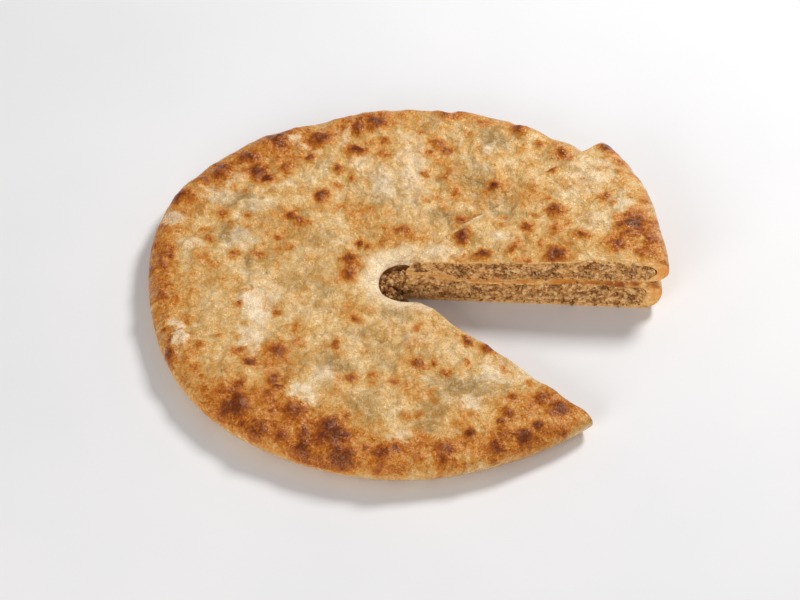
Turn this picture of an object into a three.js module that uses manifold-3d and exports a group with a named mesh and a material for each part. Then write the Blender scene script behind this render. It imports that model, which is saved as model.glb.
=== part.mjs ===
// A flat round pie of thin dough over minced meat, about 300 mm across. A wedge has been cut out
// of it and lies on top of the rest, flush with one side of the gap that it left. The dough has a
// round steam hole near the middle, where the cuts meet. Everything stands on z = 0, and the
// origin is the middle of the pie's outline.
//
// The dough and the filling are rings turned about the steam hole's axis. Their points are then
// moved by the same smooth functions, so that neighbouring surfaces stay parallel.

import * as THREE from 'three';
import { mergeVertices } from 'three/addons/utils/BufferGeometryUtils.js';
import Module from 'manifold-3d';

const wasm = await Module();
wasm.setup();

// ---------------------------------------------------------------- driving dimensions, mm, degrees

const HOLE_CENTRE = new THREE.Vector2(0, -6.5);
const HOLE_RADIUS = 14.5;
const RIM_RADIUS = 147.2; // the mean one, measured from the hole's axis
const RIM_BAND = 40; // how far in from the rim the hand-shaped outline still moves the dough
const RIM_WAVES = [
  { count: 1, height: 3.6, at: 77 },
  { count: 2, height: 3.3, at: -2 },
  { count: 3, height: 1.3, at: 100 },
  { count: 4, height: 1.9, at: -142 },
  { count: 6, height: 1.0, at: -164 },
];

const TOP_HEIGHT = 17;
const WIDEST_HEIGHT = 12; // where the rim bulges out most
const FOOT_INSET = 11; // how far the flat underside stops short of the rim
const SHOULDER_INSET = 11; // how far in from the rim the top starts to round over
const MIDDLE_RISE = { height: 2, radius: 20, wide: 14 };
const RIM_RISE = { height: 2.4, extra: 1.2, towards: 20, from: 70, to: 108 };
const LIP_DROOP = { depth: 4, width: 11.5 };

const TOP_DOUGH = 2;
const RIM_EXTRA = { thickness: 1.5, from: 40, to: 18 }; // in the top dough near the rim
const BOTTOM_DOUGH = 2.3;
const RIM_DOUGH = 9; // the solid dough at the outer end, where top and bottom are pinched together
const FILLING_EDGE = { middle: 11, reach: 10 }; // the filling's rounded outer end
const NOSE_RADIUS = 0.8; // of the rounded edge of the dough at the steam hole
const CLEARANCE = 0.3;
const REST_CLEARANCE = 0.35;

const SLICE_THICKNESS = 13.3;
const SLICE_MIDDLE_RISE = { height: 3, from: 20, to: 60 };
const SLICE_SHOULDER_RISE = { height: 3.2, radius: 122, wide: 22 };
const SLICE_WIDEST_HEIGHT = 30;
const SLICE_OVERHANG = { everywhere: 1.2, corner: 1.8, wide: 7 };
const SLICE_LIP_RADIUS = 9.5;
const SLICE_LIP_DROP = 0.9; // how far the top dough bends down at the slice's tip
const SLICE_RIM_DOUGH = 5;
const SLICE_FILLING_REACH = 9;
const UNDER_SLICE = { from: -3, to: 1 }; // the slice's weight ends this far outside its sides
const MEAT_IN_HOLE = { height: 9.2, slope: 0.14, reach: 11.5, from: 12, to: 15.5 };
const MEAT_AT_TIP = { below: 5, slope: 0.35, reach: 9 };

// the two knife cuts: the wedge's point and the directions of its sides
const GAP = { x: -9.4, y: -5.5, from: -42.5, to: -3 };
const SLICE = { x: 1.2, y: -6.06, from: -3, to: 39 };
const KNIFE_REACH = 190;
const KNIFE_MIDDLE_REACH = 266;
const KNIFE_HEIGHT = { from: -5, to: 49 };
const CLEAN = { depth: 0, along: 1, up: 1 }; // the dough is cut clean
const TORN = { depth: 0.75, along: 44, up: 15 }; // the filling crumbles
const TORN_REACH = { from: 2, to: 8 }; // beside the wedge's point the filling is cut clean too
const SCATTER = { along: 12.9898, height: 78.233, scale: 43758.5453, otherSide: 40 };

// soft unevenness of the baked dough: plane waves, and single lumps and dips
const SWELLS = [
  { across: 63, turn: 15, height: 0.5, shift: 0.3 },
  { across: 48, turn: 80, height: 0.45, shift: 1.9 },
  { across: 37, turn: 140, height: 0.4, shift: 4.1 },
  { across: 29, turn: 50, height: 0.35, shift: 2.6 },
  { across: 24, turn: 112, height: 0.3, shift: 5.2 },
  { across: 20, turn: 170, height: 0.25, shift: 0.9 },
];
const PIE_LUMPS = [
  { x: 10, y: -23, wide: 9, lift: -2.8 },
  { x: 31, y: -44, wide: 13, lift: -3.2 },
  { x: 66, y: -78, wide: 18, lift: -2.4 },
  { x: 92, y: -100, wide: 24, lift: -3.2 },
  { x: -62, y: 12, wide: 17, lift: 1.4 },
  { x: -30, y: 66, wide: 15, lift: -1.3 },
  { x: -96, y: -46, wide: 16, lift: 1.2 },
  { x: 8, y: -92, wide: 18, lift: 1.1 },
];
const SLICE_LUMPS = [
  { x: 75, y: 42, wide: 10, lift: 2.6 },
  { x: 57, y: 33, wide: 9, lift: -2.4 },
  { x: 108, y: 30, wide: 18, lift: 1.0 },
];
const SLICE_SWELL_SHIFT = { x: 70, y: -40 };
const PIE_FREE_HEIGHT = { from: 3, to: 13 }; // unevenness starts at the first and is full at the second
const SLICE_FREE_HEIGHT = { from: 23, to: 31 };
const FILLING_CRAGS = { across: 6.5, height: 1.1, slant: 0.4, shift: 1.1, from: 12.5, to: 8.5 };
const CRAG_HEIGHT = { from: 4, to: 9 };

const TURNS = 84;
const TOP_STATIONS = 11;
const ARC_STEPS = 4;
const NOSE_STEPS = 2;

// ------------------------------------------------------------------------------- smooth functions

const { smoothstep, lerp, degToRad } = THREE.MathUtils;

const bell = (distance, wide) => Math.exp(-((distance / wide) ** 2));

function rimRadius(angle) {
  return RIM_WAVES.reduce(
    (radius, wave) => radius + wave.height * Math.cos(wave.count * angle - degToRad(wave.at)),
    RIM_RADIUS,
  );
}

// the height of the pie's top at a distance from the hole's axis, before its unevenness
function topHeight(radius) {
  const middle = MIDDLE_RISE.height * bell(radius - MIDDLE_RISE.radius, MIDDLE_RISE.wide);
  const rim = RIM_RISE.height * smoothstep(radius, RIM_RISE.from, RIM_RISE.to);
  return TOP_HEIGHT + middle + rim;
}

function lipDroop(radius) {
  const inside = Math.max(0, HOLE_RADIUS + LIP_DROOP.width - radius) / LIP_DROOP.width;
  return LIP_DROOP.depth * inside ** 2;
}

function topDough(radius) {
  const { thickness, from, to } = RIM_EXTRA;
  return TOP_DOUGH + thickness * smoothstep(radius, RIM_RADIUS - from, RIM_RADIUS - to);
}

function sliceTopHeight(radius) {
  const { height, from, to } = SLICE_MIDDLE_RISE;
  const shoulder = SLICE_SHOULDER_RISE;
  const start = topHeight(MIDDLE_RISE.radius) + SLICE_THICKNESS;
  const rise = height * smoothstep(radius, from, to);
  return start + rise + shoulder.height * bell(radius - shoulder.radius, shoulder.wide);
}

const swell = (x, y) =>
  SWELLS.reduce((sum, wave) => {
    const turn = degToRad(wave.turn);
    const along = x * Math.cos(turn) + y * Math.sin(turn);
    return sum + wave.height * Math.sin((2 * Math.PI * along) / wave.across + wave.shift);
  }, 0);

const lumps = (list, x, y) =>
  list.reduce((sum, lump) => sum + lump.lift * bell(Math.hypot(x - lump.x, y - lump.y), lump.wide), 0);

// the rim stands higher towards one side of the pie
function leanOfRim(x, y) {
  const angle = Math.atan2(y - HOLE_CENTRE.y, x - HOLE_CENTRE.x);
  const radius = Math.hypot(x - HOLE_CENTRE.x, y - HOLE_CENTRE.y);
  const share = smoothstep(radius, RIM_RISE.from, RIM_RISE.to);
  return RIM_RISE.extra * share * Math.cos(angle - degToRad(RIM_RISE.towards));
}

const pieLift = (x, y) => swell(x, y) + lumps(PIE_LUMPS, x, y) + leanOfRim(x, y);

function sliceLift(x, y) {
  const own = swell(x + SLICE_SWELL_SHIFT.x, y + SLICE_SWELL_SHIFT.y);
  return own + lumps(SLICE_LUMPS, x, y) + leanOfRim(x, y);
}

// 1 under the slice and 0 away from it
function underSlice(x, y) {
  const sides = [
    { turn: degToRad(SLICE.from), sign: 1 },
    { turn: degToRad(SLICE.to), sign: -1 },
  ];
  return sides.reduce((share, { turn, sign }) => {
    const off = (y - SLICE.y) * Math.cos(turn) - (x - SLICE.x) * Math.sin(turn);
    return share * smoothstep(sign * off, UNDER_SLICE.from, UNDER_SLICE.to);
  }, 1);
}

// the torn lumps of meat in the steam hole
function crag(x, y) {
  const { across, height, slant, shift } = FILLING_CRAGS;
  const turn = (2 * Math.PI) / across;
  return height * Math.sin(turn * x + shift) * Math.sin(turn * y + slant * x);
}

// --------------------------------------------------------------------------------------- solids

// closes a geometry's seams and makes a solid of it, without the empty triangles on the axis
function toSolid(geometry, insideOut = false) {
  geometry.deleteAttribute('normal');
  geometry.deleteAttribute('uv');
  const merged = mergeVertices(geometry, 1e-4);
  const corners = merged.index.array;
  const kept = [];
  for (let i = 0; i < corners.length; i += 3) {
    const [a, b, c] = corners.slice(i, i + 3);
    if (a === b || b === c || c === a) continue;
    kept.push(a, insideOut ? c : b, insideOut ? b : c);
  }
  return new wasm.Manifold(
    new wasm.Mesh({
      numProp: 3,
      vertProperties: merged.attributes.position.array,
      triVerts: new Uint32Array(kept),
    }),
  );
}

// moves each vertex of a geometry by a function that changes the point it is given
function reshape(geometry, move) {
  const position = geometry.attributes.position;
  const point = new THREE.Vector3();
  for (let i = 0; i < position.count; i += 1) {
    point.fromBufferAttribute(position, i);
    move(point);
    position.setXYZ(i, point.x, point.y, point.z);
  }
  return geometry;
}

// Turns a profile about the hole's axis, fits it to the outline and lifts it by a function. Two
// facing surfaces split their four-sided faces along the same diagonals only if their profiles run
// the same way, so a profile may run backwards, and its faces are then turned the right way out.
function turned(profile, liftAt) {
  const points = profile.map(([radius, height]) => new THREE.Vector2(radius, height));
  const ring = new THREE.LatheGeometry(points, TURNS).rotateX(Math.PI / 2);
  const insideOut = THREE.ShapeUtils.area(points) < 0;
  return toSolid(
    reshape(ring, (point) => {
      const angle = Math.atan2(point.y, point.x);
      const radius = Math.hypot(point.x, point.y);
      const share = smoothstep(radius, RIM_BAND, RIM_RADIUS - RIM_BAND / 2);
      const moved = radius + share * (rimRadius(angle) - RIM_RADIUS);
      point.x = HOLE_CENTRE.x + moved * Math.cos(angle);
      point.y = HOLE_CENTRE.y + moved * Math.sin(angle);
      point.z += liftAt(point, radius, angle);
    }),
    insideOut,
  );
}

// points on a quarter of an ellipse, from its lowest or highest point to its widest, or back
function quarter(centre, widths, from, to, steps) {
  return Array.from({ length: steps + 1 }, (_, i) => {
    const angle = degToRad(lerp(from, to, i / steps));
    return [centre[0] + widths[0] * Math.cos(angle), centre[1] + widths[1] * Math.sin(angle)];
  });
}

// evenly spaced distances from the axis, with the height that a function gives there
function stations(from, to, count, heightAt) {
  return Array.from({ length: count }, (_, i) => {
    const radius = lerp(from, to, i / (count - 1));
    return [radius, heightAt(radius)];
  });
}

const shoulder = RIM_RADIUS - SHOULDER_INSET;
const lipRadius = HOLE_RADIUS + 3.5;
const noseEnd = HOLE_RADIUS + NOSE_RADIUS;
const sliceLipRadius = SLICE_LIP_RADIUS + 2;
const sliceNoseEnd = SLICE_LIP_RADIUS + NOSE_RADIUS;

const lipTop = (radius) => topHeight(radius) - lipDroop(radius);
const noseHeight = lipTop(HOLE_RADIUS) - NOSE_RADIUS;
const ceiling = (radius) => lipTop(radius) - topDough(radius);
const pieFloor = () => BOTTOM_DOUGH;
const meatInHole = (radius) => MEAT_IN_HOLE.height + MEAT_IN_HOLE.slope * radius;

// the slice's underside lies just above the pie's top, on the same stations
const restHeight = (radius) => topHeight(Math.max(radius, MIDDLE_RISE.radius)) + REST_CLEARANCE;
const sliceFloor = (radius) => restHeight(radius) + BOTTOM_DOUGH;
const sliceCeiling = (radius) => sliceTopHeight(radius) - topDough(radius);
const sliceNoseHeight = sliceTopHeight(0) - SLICE_LIP_DROP - NOSE_RADIUS;
const meatAtTip = (radius) => sliceCeiling(0) - MEAT_AT_TIP.below + MEAT_AT_TIP.slope * radius;

// the hollow in the dough at its outer end, from the ceiling down to the floor, or the filling's
// own round end in it, which keeps clear of the dough
function roundedEnd({ start, end, middle, over, under }, clear) {
  const reach = end - start - Math.SQRT2 * clear;
  const upper = quarter([start, middle], [reach, over(start) - clear - middle], 90, 0, NOSE_STEPS);
  const lower = quarter([start, middle], [reach, middle - under(start) - clear], 0, -90, NOSE_STEPS);
  return [...upper, ...lower.slice(1)];
}

const pieHollow = {
  start: RIM_RADIUS - RIM_DOUGH - FILLING_EDGE.reach,
  end: RIM_RADIUS - RIM_DOUGH,
  middle: FILLING_EDGE.middle,
  over: ceiling,
  under: pieFloor,
};

const sliceEnd = RIM_RADIUS - SLICE_RIM_DOUGH;
const sliceHollow = {
  start: sliceEnd - SLICE_FILLING_REACH,
  end: sliceEnd,
  middle: (sliceFloor(sliceEnd) + sliceCeiling(sliceEnd)) / 2,
  over: sliceCeiling,
  under: sliceFloor,
};

// the rim's outside, from under the widest place up to where the top starts
const rimUnder = (centre, widths) => quarter(centre, widths, -90, 0, ARC_STEPS);
const rimOver = (centre, widths) => quarter(centre, widths, 0, 90, ARC_STEPS).slice(1);

function noseAt(radius, height) {
  return quarter([radius + NOSE_RADIUS, height], [NOSE_RADIUS, NOSE_RADIUS], 90, 270, NOSE_STEPS);
}

function pieCrustProfile() {
  const rise = topHeight(shoulder) - WIDEST_HEIGHT;
  return [
    [0, 0],
    ...rimUnder([RIM_RADIUS - FOOT_INSET, WIDEST_HEIGHT], [FOOT_INSET, WIDEST_HEIGHT]),
    ...rimOver([shoulder, WIDEST_HEIGHT], [SHOULDER_INSET, rise]),
    ...stations(shoulder, lipRadius, TOP_STATIONS, lipTop).slice(1),
    ...noseAt(HOLE_RADIUS, noseHeight),
    ...stations(lipRadius, pieHollow.start, TOP_STATIONS - 1, ceiling),
    ...roundedEnd(pieHollow, 0).slice(1),
    [0, BOTTOM_DOUGH],
  ];
}

function pieFillingProfile() {
  const over = (radius) => ceiling(radius) - CLEARANCE;
  return [
    [0, BOTTOM_DOUGH + CLEARANCE],
    ...roundedEnd(pieHollow, CLEARANCE).reverse(),
    ...stations(pieHollow.start, lipRadius, TOP_STATIONS - 1, over).slice(1),
    [noseEnd, noseHeight - NOSE_RADIUS - CLEARANCE],
    ...stations(MEAT_IN_HOLE.reach, 0, 3, meatInHole),
  ];
}

function sliceCrustProfile() {
  const inset = RIM_RADIUS + SLICE_OVERHANG.everywhere - shoulder;
  const drop = SLICE_WIDEST_HEIGHT - restHeight(shoulder);
  const rise = sliceTopHeight(shoulder) - SLICE_WIDEST_HEIGHT;
  return [
    ...stations(0, MEAT_IN_HOLE.reach, 3, restHeight),
    [noseEnd, restHeight(noseEnd)],
    ...stations(lipRadius, shoulder, TOP_STATIONS, restHeight),
    ...rimUnder([shoulder, SLICE_WIDEST_HEIGHT], [inset, drop]).slice(1),
    ...rimOver([shoulder, SLICE_WIDEST_HEIGHT], [inset, rise]),
    ...stations(shoulder, sliceLipRadius, TOP_STATIONS, sliceTopHeight).slice(1),
    ...noseAt(SLICE_LIP_RADIUS, sliceNoseHeight),
    ...stations(sliceLipRadius, sliceHollow.start, TOP_STATIONS - 2, sliceCeiling),
    ...roundedEnd(sliceHollow, 0).slice(1),
    ...stations(sliceHollow.start, lipRadius, TOP_STATIONS - 2, sliceFloor).slice(1),
    [0, sliceFloor(0)],
  ];
}

function sliceFillingProfile() {
  const under = (radius) => sliceFloor(radius) + CLEARANCE;
  const over = (radius) => sliceCeiling(radius) - CLEARANCE;
  return [
    [0, under(0)],
    ...stations(lipRadius, sliceHollow.start, TOP_STATIONS - 2, under),
    ...roundedEnd(sliceHollow, CLEARANCE).reverse().slice(1),
    ...stations(sliceHollow.start, sliceLipRadius, TOP_STATIONS - 2, over).slice(1),
    [sliceNoseEnd, sliceNoseHeight - NOSE_RADIUS - CLEARANCE],
    ...stations(MEAT_AT_TIP.reach, 0, 3, meatAtTip),
  ];
}

// --------------------------------------------------------------------------------- knife cuts

// how far a cut face stands out or in at a distance along the cut and a height: a scattered
// number from -1 to 1, the same each time for the same whole millimetres
function tear(along, height) {
  const turn = SCATTER.along * Math.round(along) + SCATTER.height * Math.round(height);
  const mixed = SCATTER.scale * Math.sin(turn);
  return 2 * (mixed - Math.floor(mixed)) - 1;
}

// a tall wedge between two directions, whose sides are as torn as the food that it cuts
function wedge({ x, y, from, to }, { depth, along, up }) {
  const corner = (angle, reach) => [reach * Math.cos(degToRad(angle)), reach * Math.sin(degToRad(angle))];
  const outline = new THREE.Shape();
  outline.moveTo(0, 0);
  for (let i = 1; i <= along; i += 1) {
    outline.lineTo(...corner(from, (KNIFE_REACH * i) / along));
  }
  outline.lineTo(...corner((from + to) / 2, KNIFE_MIDDLE_REACH));
  for (let i = along; i >= 1; i -= 1) {
    outline.lineTo(...corner(to, (KNIFE_REACH * i) / along));
  }
  const tall = new THREE.ExtrudeGeometry(outline, {
    depth: KNIFE_HEIGHT.to - KNIFE_HEIGHT.from,
    steps: up,
    bevelEnabled: false,
  });
  tall.translate(0, 0, KNIFE_HEIGHT.from);
  reshape(tall, (point) => {
    const reach = Math.hypot(point.x, point.y);
    const angle = Math.atan2(point.y, point.x);
    const side = angle > degToRad((from + to) / 2) ? to : from;
    const out = degToRad(side === to ? side + 90 : side - 90);
    const share = depth * smoothstep(reach, TORN_REACH.from, TORN_REACH.to);
    const push = share * tear(reach + (side === to ? 0 : SCATTER.otherSide), point.z);
    point.x += x + push * Math.cos(out);
    point.y += y + push * Math.sin(out);
  });
  return toSolid(tall);
}

// ---------------------------------------------------------------------------------- the pieces

// The flat underside stays flat: a point is lifted by more of the unevenness the higher it lies.
// The edge of the steam hole bends down only where the slice doesn't lie on it.
function pieShape(point, radius) {
  const level = lipDroop(Math.max(radius, HOLE_RADIUS)) * underSlice(point.x, point.y);
  const lift = pieLift(point.x, point.y) + level;
  return lift * smoothstep(point.z, PIE_FREE_HEIGHT.from, PIE_FREE_HEIGHT.to);
}

// in the steam hole the meat is lumpy, and it is heaped up to the slice that lies over it
function pieFillingShape(point, radius) {
  const under = underSlice(point.x, point.y);
  const inHole = 1 - smoothstep(radius, FILLING_CRAGS.to, FILLING_CRAGS.from);
  const upper = smoothstep(point.z, CRAG_HEIGHT.from, CRAG_HEIGHT.to);
  const lumpy = pieShape(point, radius) + inHole * upper * (1 - under) * crag(point.x, point.y);
  const heaped = topHeight(MIDDLE_RISE.radius) - CLEARANCE - point.z + pieLift(point.x, point.y);
  const share = 1 - smoothstep(radius, MEAT_IN_HOLE.from, MEAT_IN_HOLE.to);
  return lerp(lumpy, heaped, under * share * upper);
}

// its underside follows the pie below, and its top has lumps of its own
function sliceShape(point, radius, angle) {
  const share = smoothstep(point.z, SLICE_FREE_HEIGHT.from, SLICE_FREE_HEIGHT.to);
  const corner = bell(angle - degToRad(SLICE.from), degToRad(SLICE_OVERHANG.wide));
  const out = SLICE_OVERHANG.corner * corner * smoothstep(radius, shoulder, RIM_RADIUS);
  const lift = lerp(pieLift(point.x, point.y), sliceLift(point.x, point.y), share);
  point.x += out * Math.cos(angle);
  point.y += out * Math.sin(angle);
  return lift;
}

const pieces = [
  {
    name: 'pie_crust',
    solid: turned(pieCrustProfile(), pieShape).subtract(wedge(GAP, CLEAN)),
    look: { color: 0xd9ad6c, roughness: 0.62, metalness: 0 },
  },
  {
    name: 'pie_filling',
    solid: turned(pieFillingProfile().reverse(), pieFillingShape).subtract(wedge(GAP, TORN)),
    look: { color: 0x9c7f62, roughness: 0.8, metalness: 0 },
  },
  {
    name: 'slice_crust',
    solid: turned(sliceCrustProfile().reverse(), sliceShape).intersect(wedge(SLICE, CLEAN)),
    look: { color: 0xdcb478, roughness: 0.62, metalness: 0 },
  },
  {
    name: 'slice_filling',
    solid: turned(sliceFillingProfile(), sliceShape).intersect(wedge(SLICE, TORN)),
    look: { color: 0x9c7f62, roughness: 0.8, metalness: 0 },
  },
];

function toMesh({ name, solid, look }) {
  const { vertProperties, triVerts } = solid.getMesh();
  const geometry = new THREE.BufferGeometry();
  geometry.setAttribute('position', new THREE.BufferAttribute(vertProperties, 3));
  geometry.setIndex(new THREE.BufferAttribute(triVerts, 1));
  geometry.computeVertexNormals();
  const mesh = new THREE.Mesh(geometry, new THREE.MeshStandardMaterial(look));
  mesh.name = name;
  return mesh;
}

const pie = new THREE.Group();
pieces.forEach((piece) => pie.add(toMesh(piece)));

export default pie;
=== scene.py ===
"""A baked flat round pie filled with minced meat, with a slice cut out of it and laid on top.

Lengths in the tables and functions below are millimetres; meshes are written in metres.
"""

import itertools
import math

import bmesh
import bpy
import numpy as np
from mathutils import Matrix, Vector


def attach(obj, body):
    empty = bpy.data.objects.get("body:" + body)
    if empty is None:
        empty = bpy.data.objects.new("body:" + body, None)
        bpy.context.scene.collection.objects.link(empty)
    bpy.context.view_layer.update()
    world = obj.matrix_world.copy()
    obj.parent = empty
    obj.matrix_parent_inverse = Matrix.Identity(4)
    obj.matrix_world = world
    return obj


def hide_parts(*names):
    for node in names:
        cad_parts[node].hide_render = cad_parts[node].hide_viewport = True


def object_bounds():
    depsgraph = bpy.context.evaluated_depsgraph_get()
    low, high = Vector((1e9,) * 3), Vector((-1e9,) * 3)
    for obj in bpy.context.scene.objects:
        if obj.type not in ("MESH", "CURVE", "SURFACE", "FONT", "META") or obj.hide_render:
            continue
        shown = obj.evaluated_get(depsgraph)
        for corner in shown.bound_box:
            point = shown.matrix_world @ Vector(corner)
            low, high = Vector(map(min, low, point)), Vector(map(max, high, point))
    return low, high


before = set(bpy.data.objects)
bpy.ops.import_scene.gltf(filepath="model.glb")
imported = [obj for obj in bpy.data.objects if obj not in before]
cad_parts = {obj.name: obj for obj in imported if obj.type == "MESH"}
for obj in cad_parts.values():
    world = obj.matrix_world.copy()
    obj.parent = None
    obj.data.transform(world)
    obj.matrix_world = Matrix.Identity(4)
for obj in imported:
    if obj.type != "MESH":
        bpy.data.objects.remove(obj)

bl_info = {
    "name": "Stuffed flat pie",
    "version": (1, 0, 0),
    "blender": (4, 5, 0),
    "location": "View3D > Sidebar > Pie",
    "description": "Builds a filled flat pie with a cut slice resting on it",
    "category": "Add Mesh",
}

MM = 0.001
CAD_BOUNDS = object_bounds()
SOFT_LIMIT = 0.8  # what comes this near the box's high sides is eased back inside it
MERGE_DISTANCE = 0.004

# ---- the pie's form, shared with the CAD

HOLE_X = 0.0
HOLE_Y = -6.5
HOLE_RADIUS = 14.5
RIM_RADIUS = 147.2
RIM_BAND = 40
# lobes of the hand-shaped outline: count around, height, direction in degrees
RIM_WAVES = ((1, 3.6, 77), (2, 3.3, -2), (3, 1.3, 100), (4, 1.9, -142), (6, 1.0, -164))

TOP_HEIGHT = 17
RING_HEIGHT = 2  # of the swelling round the hole
RING_RADIUS = 20
RING_WIDTH = 14
RIM_RISE = 2.4
RISE_BAND = (70, 108)
RIM_LEAN = 1.2
LEAN_DIRECTION = 20
LIP_DROOP = 4
DROOP_BAND = 11.5
WIDEST_HEIGHT = 12
FOOT_INSET = 11
SHOULDER_INSET = 11
NOSE_RADIUS = 0.8
TOP_DOUGH = 2
RIM_EXTRA = 1.5
EXTRA_BAND = (40, 18)  # distances in from the outline
BOTTOM_DOUGH = 2.3
RIM_DOUGH = 9
SLICE_RIM_DOUGH = 5
FILLING_ROUNDING = 10
FILLING_MIDDLE = 11
LIP_BAND = 3.5
LEVEL_RADIUS = 20  # inside it the slice's underside, and the pie's top below that, stay level
FOOT_RINGS = (3, 8, 14.5, 24, 40, 60, 85, 110)
CLEARANCE = 0.06  # between dough and meat
REST_CLEARANCE = 0.12  # between the pie and the slice on it

SLICE_THICKNESS = 13.3
SLICE_RISE = 3
SLICE_RISE_BAND = (20, 60)
SLICE_HUMP = 3.2
HUMP_RADIUS = 122
HUMP_WIDTH = 22
SLICE_WIDEST_HEIGHT = 30
SLICE_OVERHANG = 1.2
SLICE_CORNER = 1.8
SLICE_LIP_RADIUS = 9.5
SLICE_LIP_BAND = 2
SLICE_LIP_DROP = 1.7
SLICE_LIP_SKEW = 6.5  # how much nearer to the tip the lip is at the back cut than at the front one
SLICE_FINENESS = 0.8  # spacing of the slice's points as a share of the pie's

# each sector's point, the directions of its two cuts, and from which radius its rings are round
PIE_SECTOR = {"x": -9.4, "y": -5.5, "start": -3.0, "end": 317.5, "blend": 14.5}
SLICE_SECTOR = {"x": 1.2, "y": -6.06, "start": -3.0, "end": 39.0, "blend": 6.0}

# heights from where to where unevenness and browning grow from the underside to the top
PIE_RAISED = (3, 13)
PIE_BAKED = (5, 13)
SLICE_RAISED = (23, 31)
SLICE_BAKED = (24, 30)

# plane waves: across, turn in degrees, height, shift
SWELLS = (
    (63, 15, 0.5, 0.3), (48, 80, 0.45, 1.9), (37, 140, 0.4, 4.1),
    (29, 50, 0.35, 2.6), (24, 112, 0.3, 5.2), (20, 170, 0.25, 0.9),
)
# single lumps and dips: x, y, wide, lift
PIE_LUMPS = (
    (10, -23, 9, -2.8), (31, -44, 13, -3.2), (66, -78, 18, -2.4), (92, -100, 24, -3.2),
    (-62, 12, 17, 1.4), (-30, 66, 15, -1.3), (-96, -46, 16, 1.2), (8, -92, 18, 1.1),
)
SLICE_LUMPS = ((75, 42, 10, 2.6), (57, 33, 9, -2.4), (108, 30, 18, 1.0))

# ---- browning and fine relief of the top, read off

PIE_SEED = 100
SLICE_SEED = 500
BLISTER_SPREAD = 1.2
FRECKLES = 300
FRECKLES_ON_RIM = 0.55
# heights of the fine relief of the top
UNEVENNESS = 1.5
BILLOW_HEIGHT = 3.0
PEBBLE_HEIGHT = 1.2
BUBBLE_HEIGHT = 2.2
BLISTER_HEIGHT = 1.9
PALE_HEIGHT = 1.2
THIN_DEPTH = 0.7
SINKING = 0.8
SHALLOW_DIP = 0.3
DEEPEST_DIP = 0.9  # what the fine relief takes at most from the dough, below its shallow dips
EDGE_WIDTH = 1.8
EDGE_SINK = 0.6  # how far the baked top sinks along a cut
LIP_WIDTH = 9
# browned blisters of the pie's top: x, y, width, darkness
PIE_SPOTS = (
    (-88, 81, 12, 0.85), (-81, 74, 9, 0.8), (-75, 107, 13, 0.75), (-93, 93, 10, 0.6),
    (-50, 108, 12, 0.85), (-28, 98, 10, 0.85), (-16, 122, 12, 0.8), (-12, 106, 9, 0.6),
    (-11, 95, 8, 0.5), (-28, 119, 8, 0.6), (-56, 92, 6, 0.55), (-40, 84, 6, 0.75),
    (-72, 84, 9, 0.65), (-48, 63, 9, 0.85), (-40, 72, 7, 0.65), (-66, 46, 8, 0.75),
    (-63, 41, 6, 0.7), (-95, 64, 6, 0.5), (-106, 46, 10, 0.6), (-93, 46, 7, 0.5),
    (-102, 37, 5, 0.5), (-117, 33, 6, 0.5), (-113, 24, 6, 0.5), (-74, 27, 6, 0.6),
    (-116, 8, 13, 0.6), (-99, 13, 5, 0.5), (-84, 14, 7, 0.55), (-67, 18, 7, 0.4),
    (-31, 8, 10, 0.7), (-30, 0, 8, 0.6), (-26, 22, 6, 0.6), (-20, 18, 5, 0.45),
    (-10, 25, 8, 0.35), (0, 32, 8, 0.55), (-32, -4, 9, 0.65), (-108, 82, 10, 0.55),
    (-119, 74, 9, 0.6), (-134, 61, 9, 0.85), (25, 130, 8, 0.55), (36, 133, 8, 0.6),
    (70, 116, 10, 0.7), (10, 115, 5, 0.45), (20, 105, 9, 0.5), (27, 98, 8, 0.7),
    (15, 95, 6, 0.5), (12, 79, 8, 0.6), (25, 77, 7, 0.4), (54, 68, 7, 0.75),
    (33, 65, 8, 0.4), (13, 57, 4, 0.45), (20, 60, 5, 0.4), (25, 50, 7, 0.4),
    (33, 42, 9, 0.95), (11, 24, 6, 0.35), (95, 95, 9, 0.55), (82, 105, 6, 0.5),
    (45, 44, 6, 0.45), (50, 38, 6, 0.35), (-115, -60, 8, 0.55), (-117, -75, 9, 0.6),
    (-92, -103, 17, 0.8), (-80, -118, 14, 0.6), (-60, -108, 14, 0.6), (-40, -124, 17, 0.85),
    (-55, -133, 14, 0.8), (-34, -139, 14, 0.75), (-70, -92, 8, 0.7), (-72, -83, 9, 0.65),
    (-86, -72, 8, 0.8), (-94, -63, 6, 0.7), (-70, -62, 13, 0.7), (-60, -55, 8, 0.5),
    (-62, -43, 6, 0.6), (-38, -57, 7, 0.55), (-27, -39, 7, 0.35), (-30, -83, 8, 0.75),
    (-17, -79, 6, 0.4), (-5, -84, 6, 0.65), (1, -89, 7, 0.55), (1, -110, 8, 0.5),
    (-94, -28, 6, 0.6), (-89, -16, 7, 0.5), (-73, -31, 7, 0.65), (-105, -52, 4, 0.5),
    (-92, -62, 5, 0.6), (7, -44, 6, 0.4), (36, -54, 7, 0.95), (47, -59, 8, 0.7),
    (8, -71, 6, 0.6), (16, -70, 4, 0.6), (36, -70, 6, 0.6), (25, -79, 5, 0.65),
    (16, -94, 7, 0.45), (31, -104, 5, 0.6), (41, -99, 5, 0.4), (55, -75, 7, 0.45),
    (60, -96, 8, 0.65), (70, -84, 6, 0.5), (76, -96, 10, 0.6), (85, -103, 9, 0.75),
    (57, -110, 8, 0.55), (65, -126, 10, 0.75), (50, -131, 8, 0.7), (22, -134, 9, 0.6),
    (-12, -137, 12, 0.6), (-75, -98, 10, 0.5), (-100, -92, 9, 0.45), (-47, -142, 12, 0.6),
)
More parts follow.
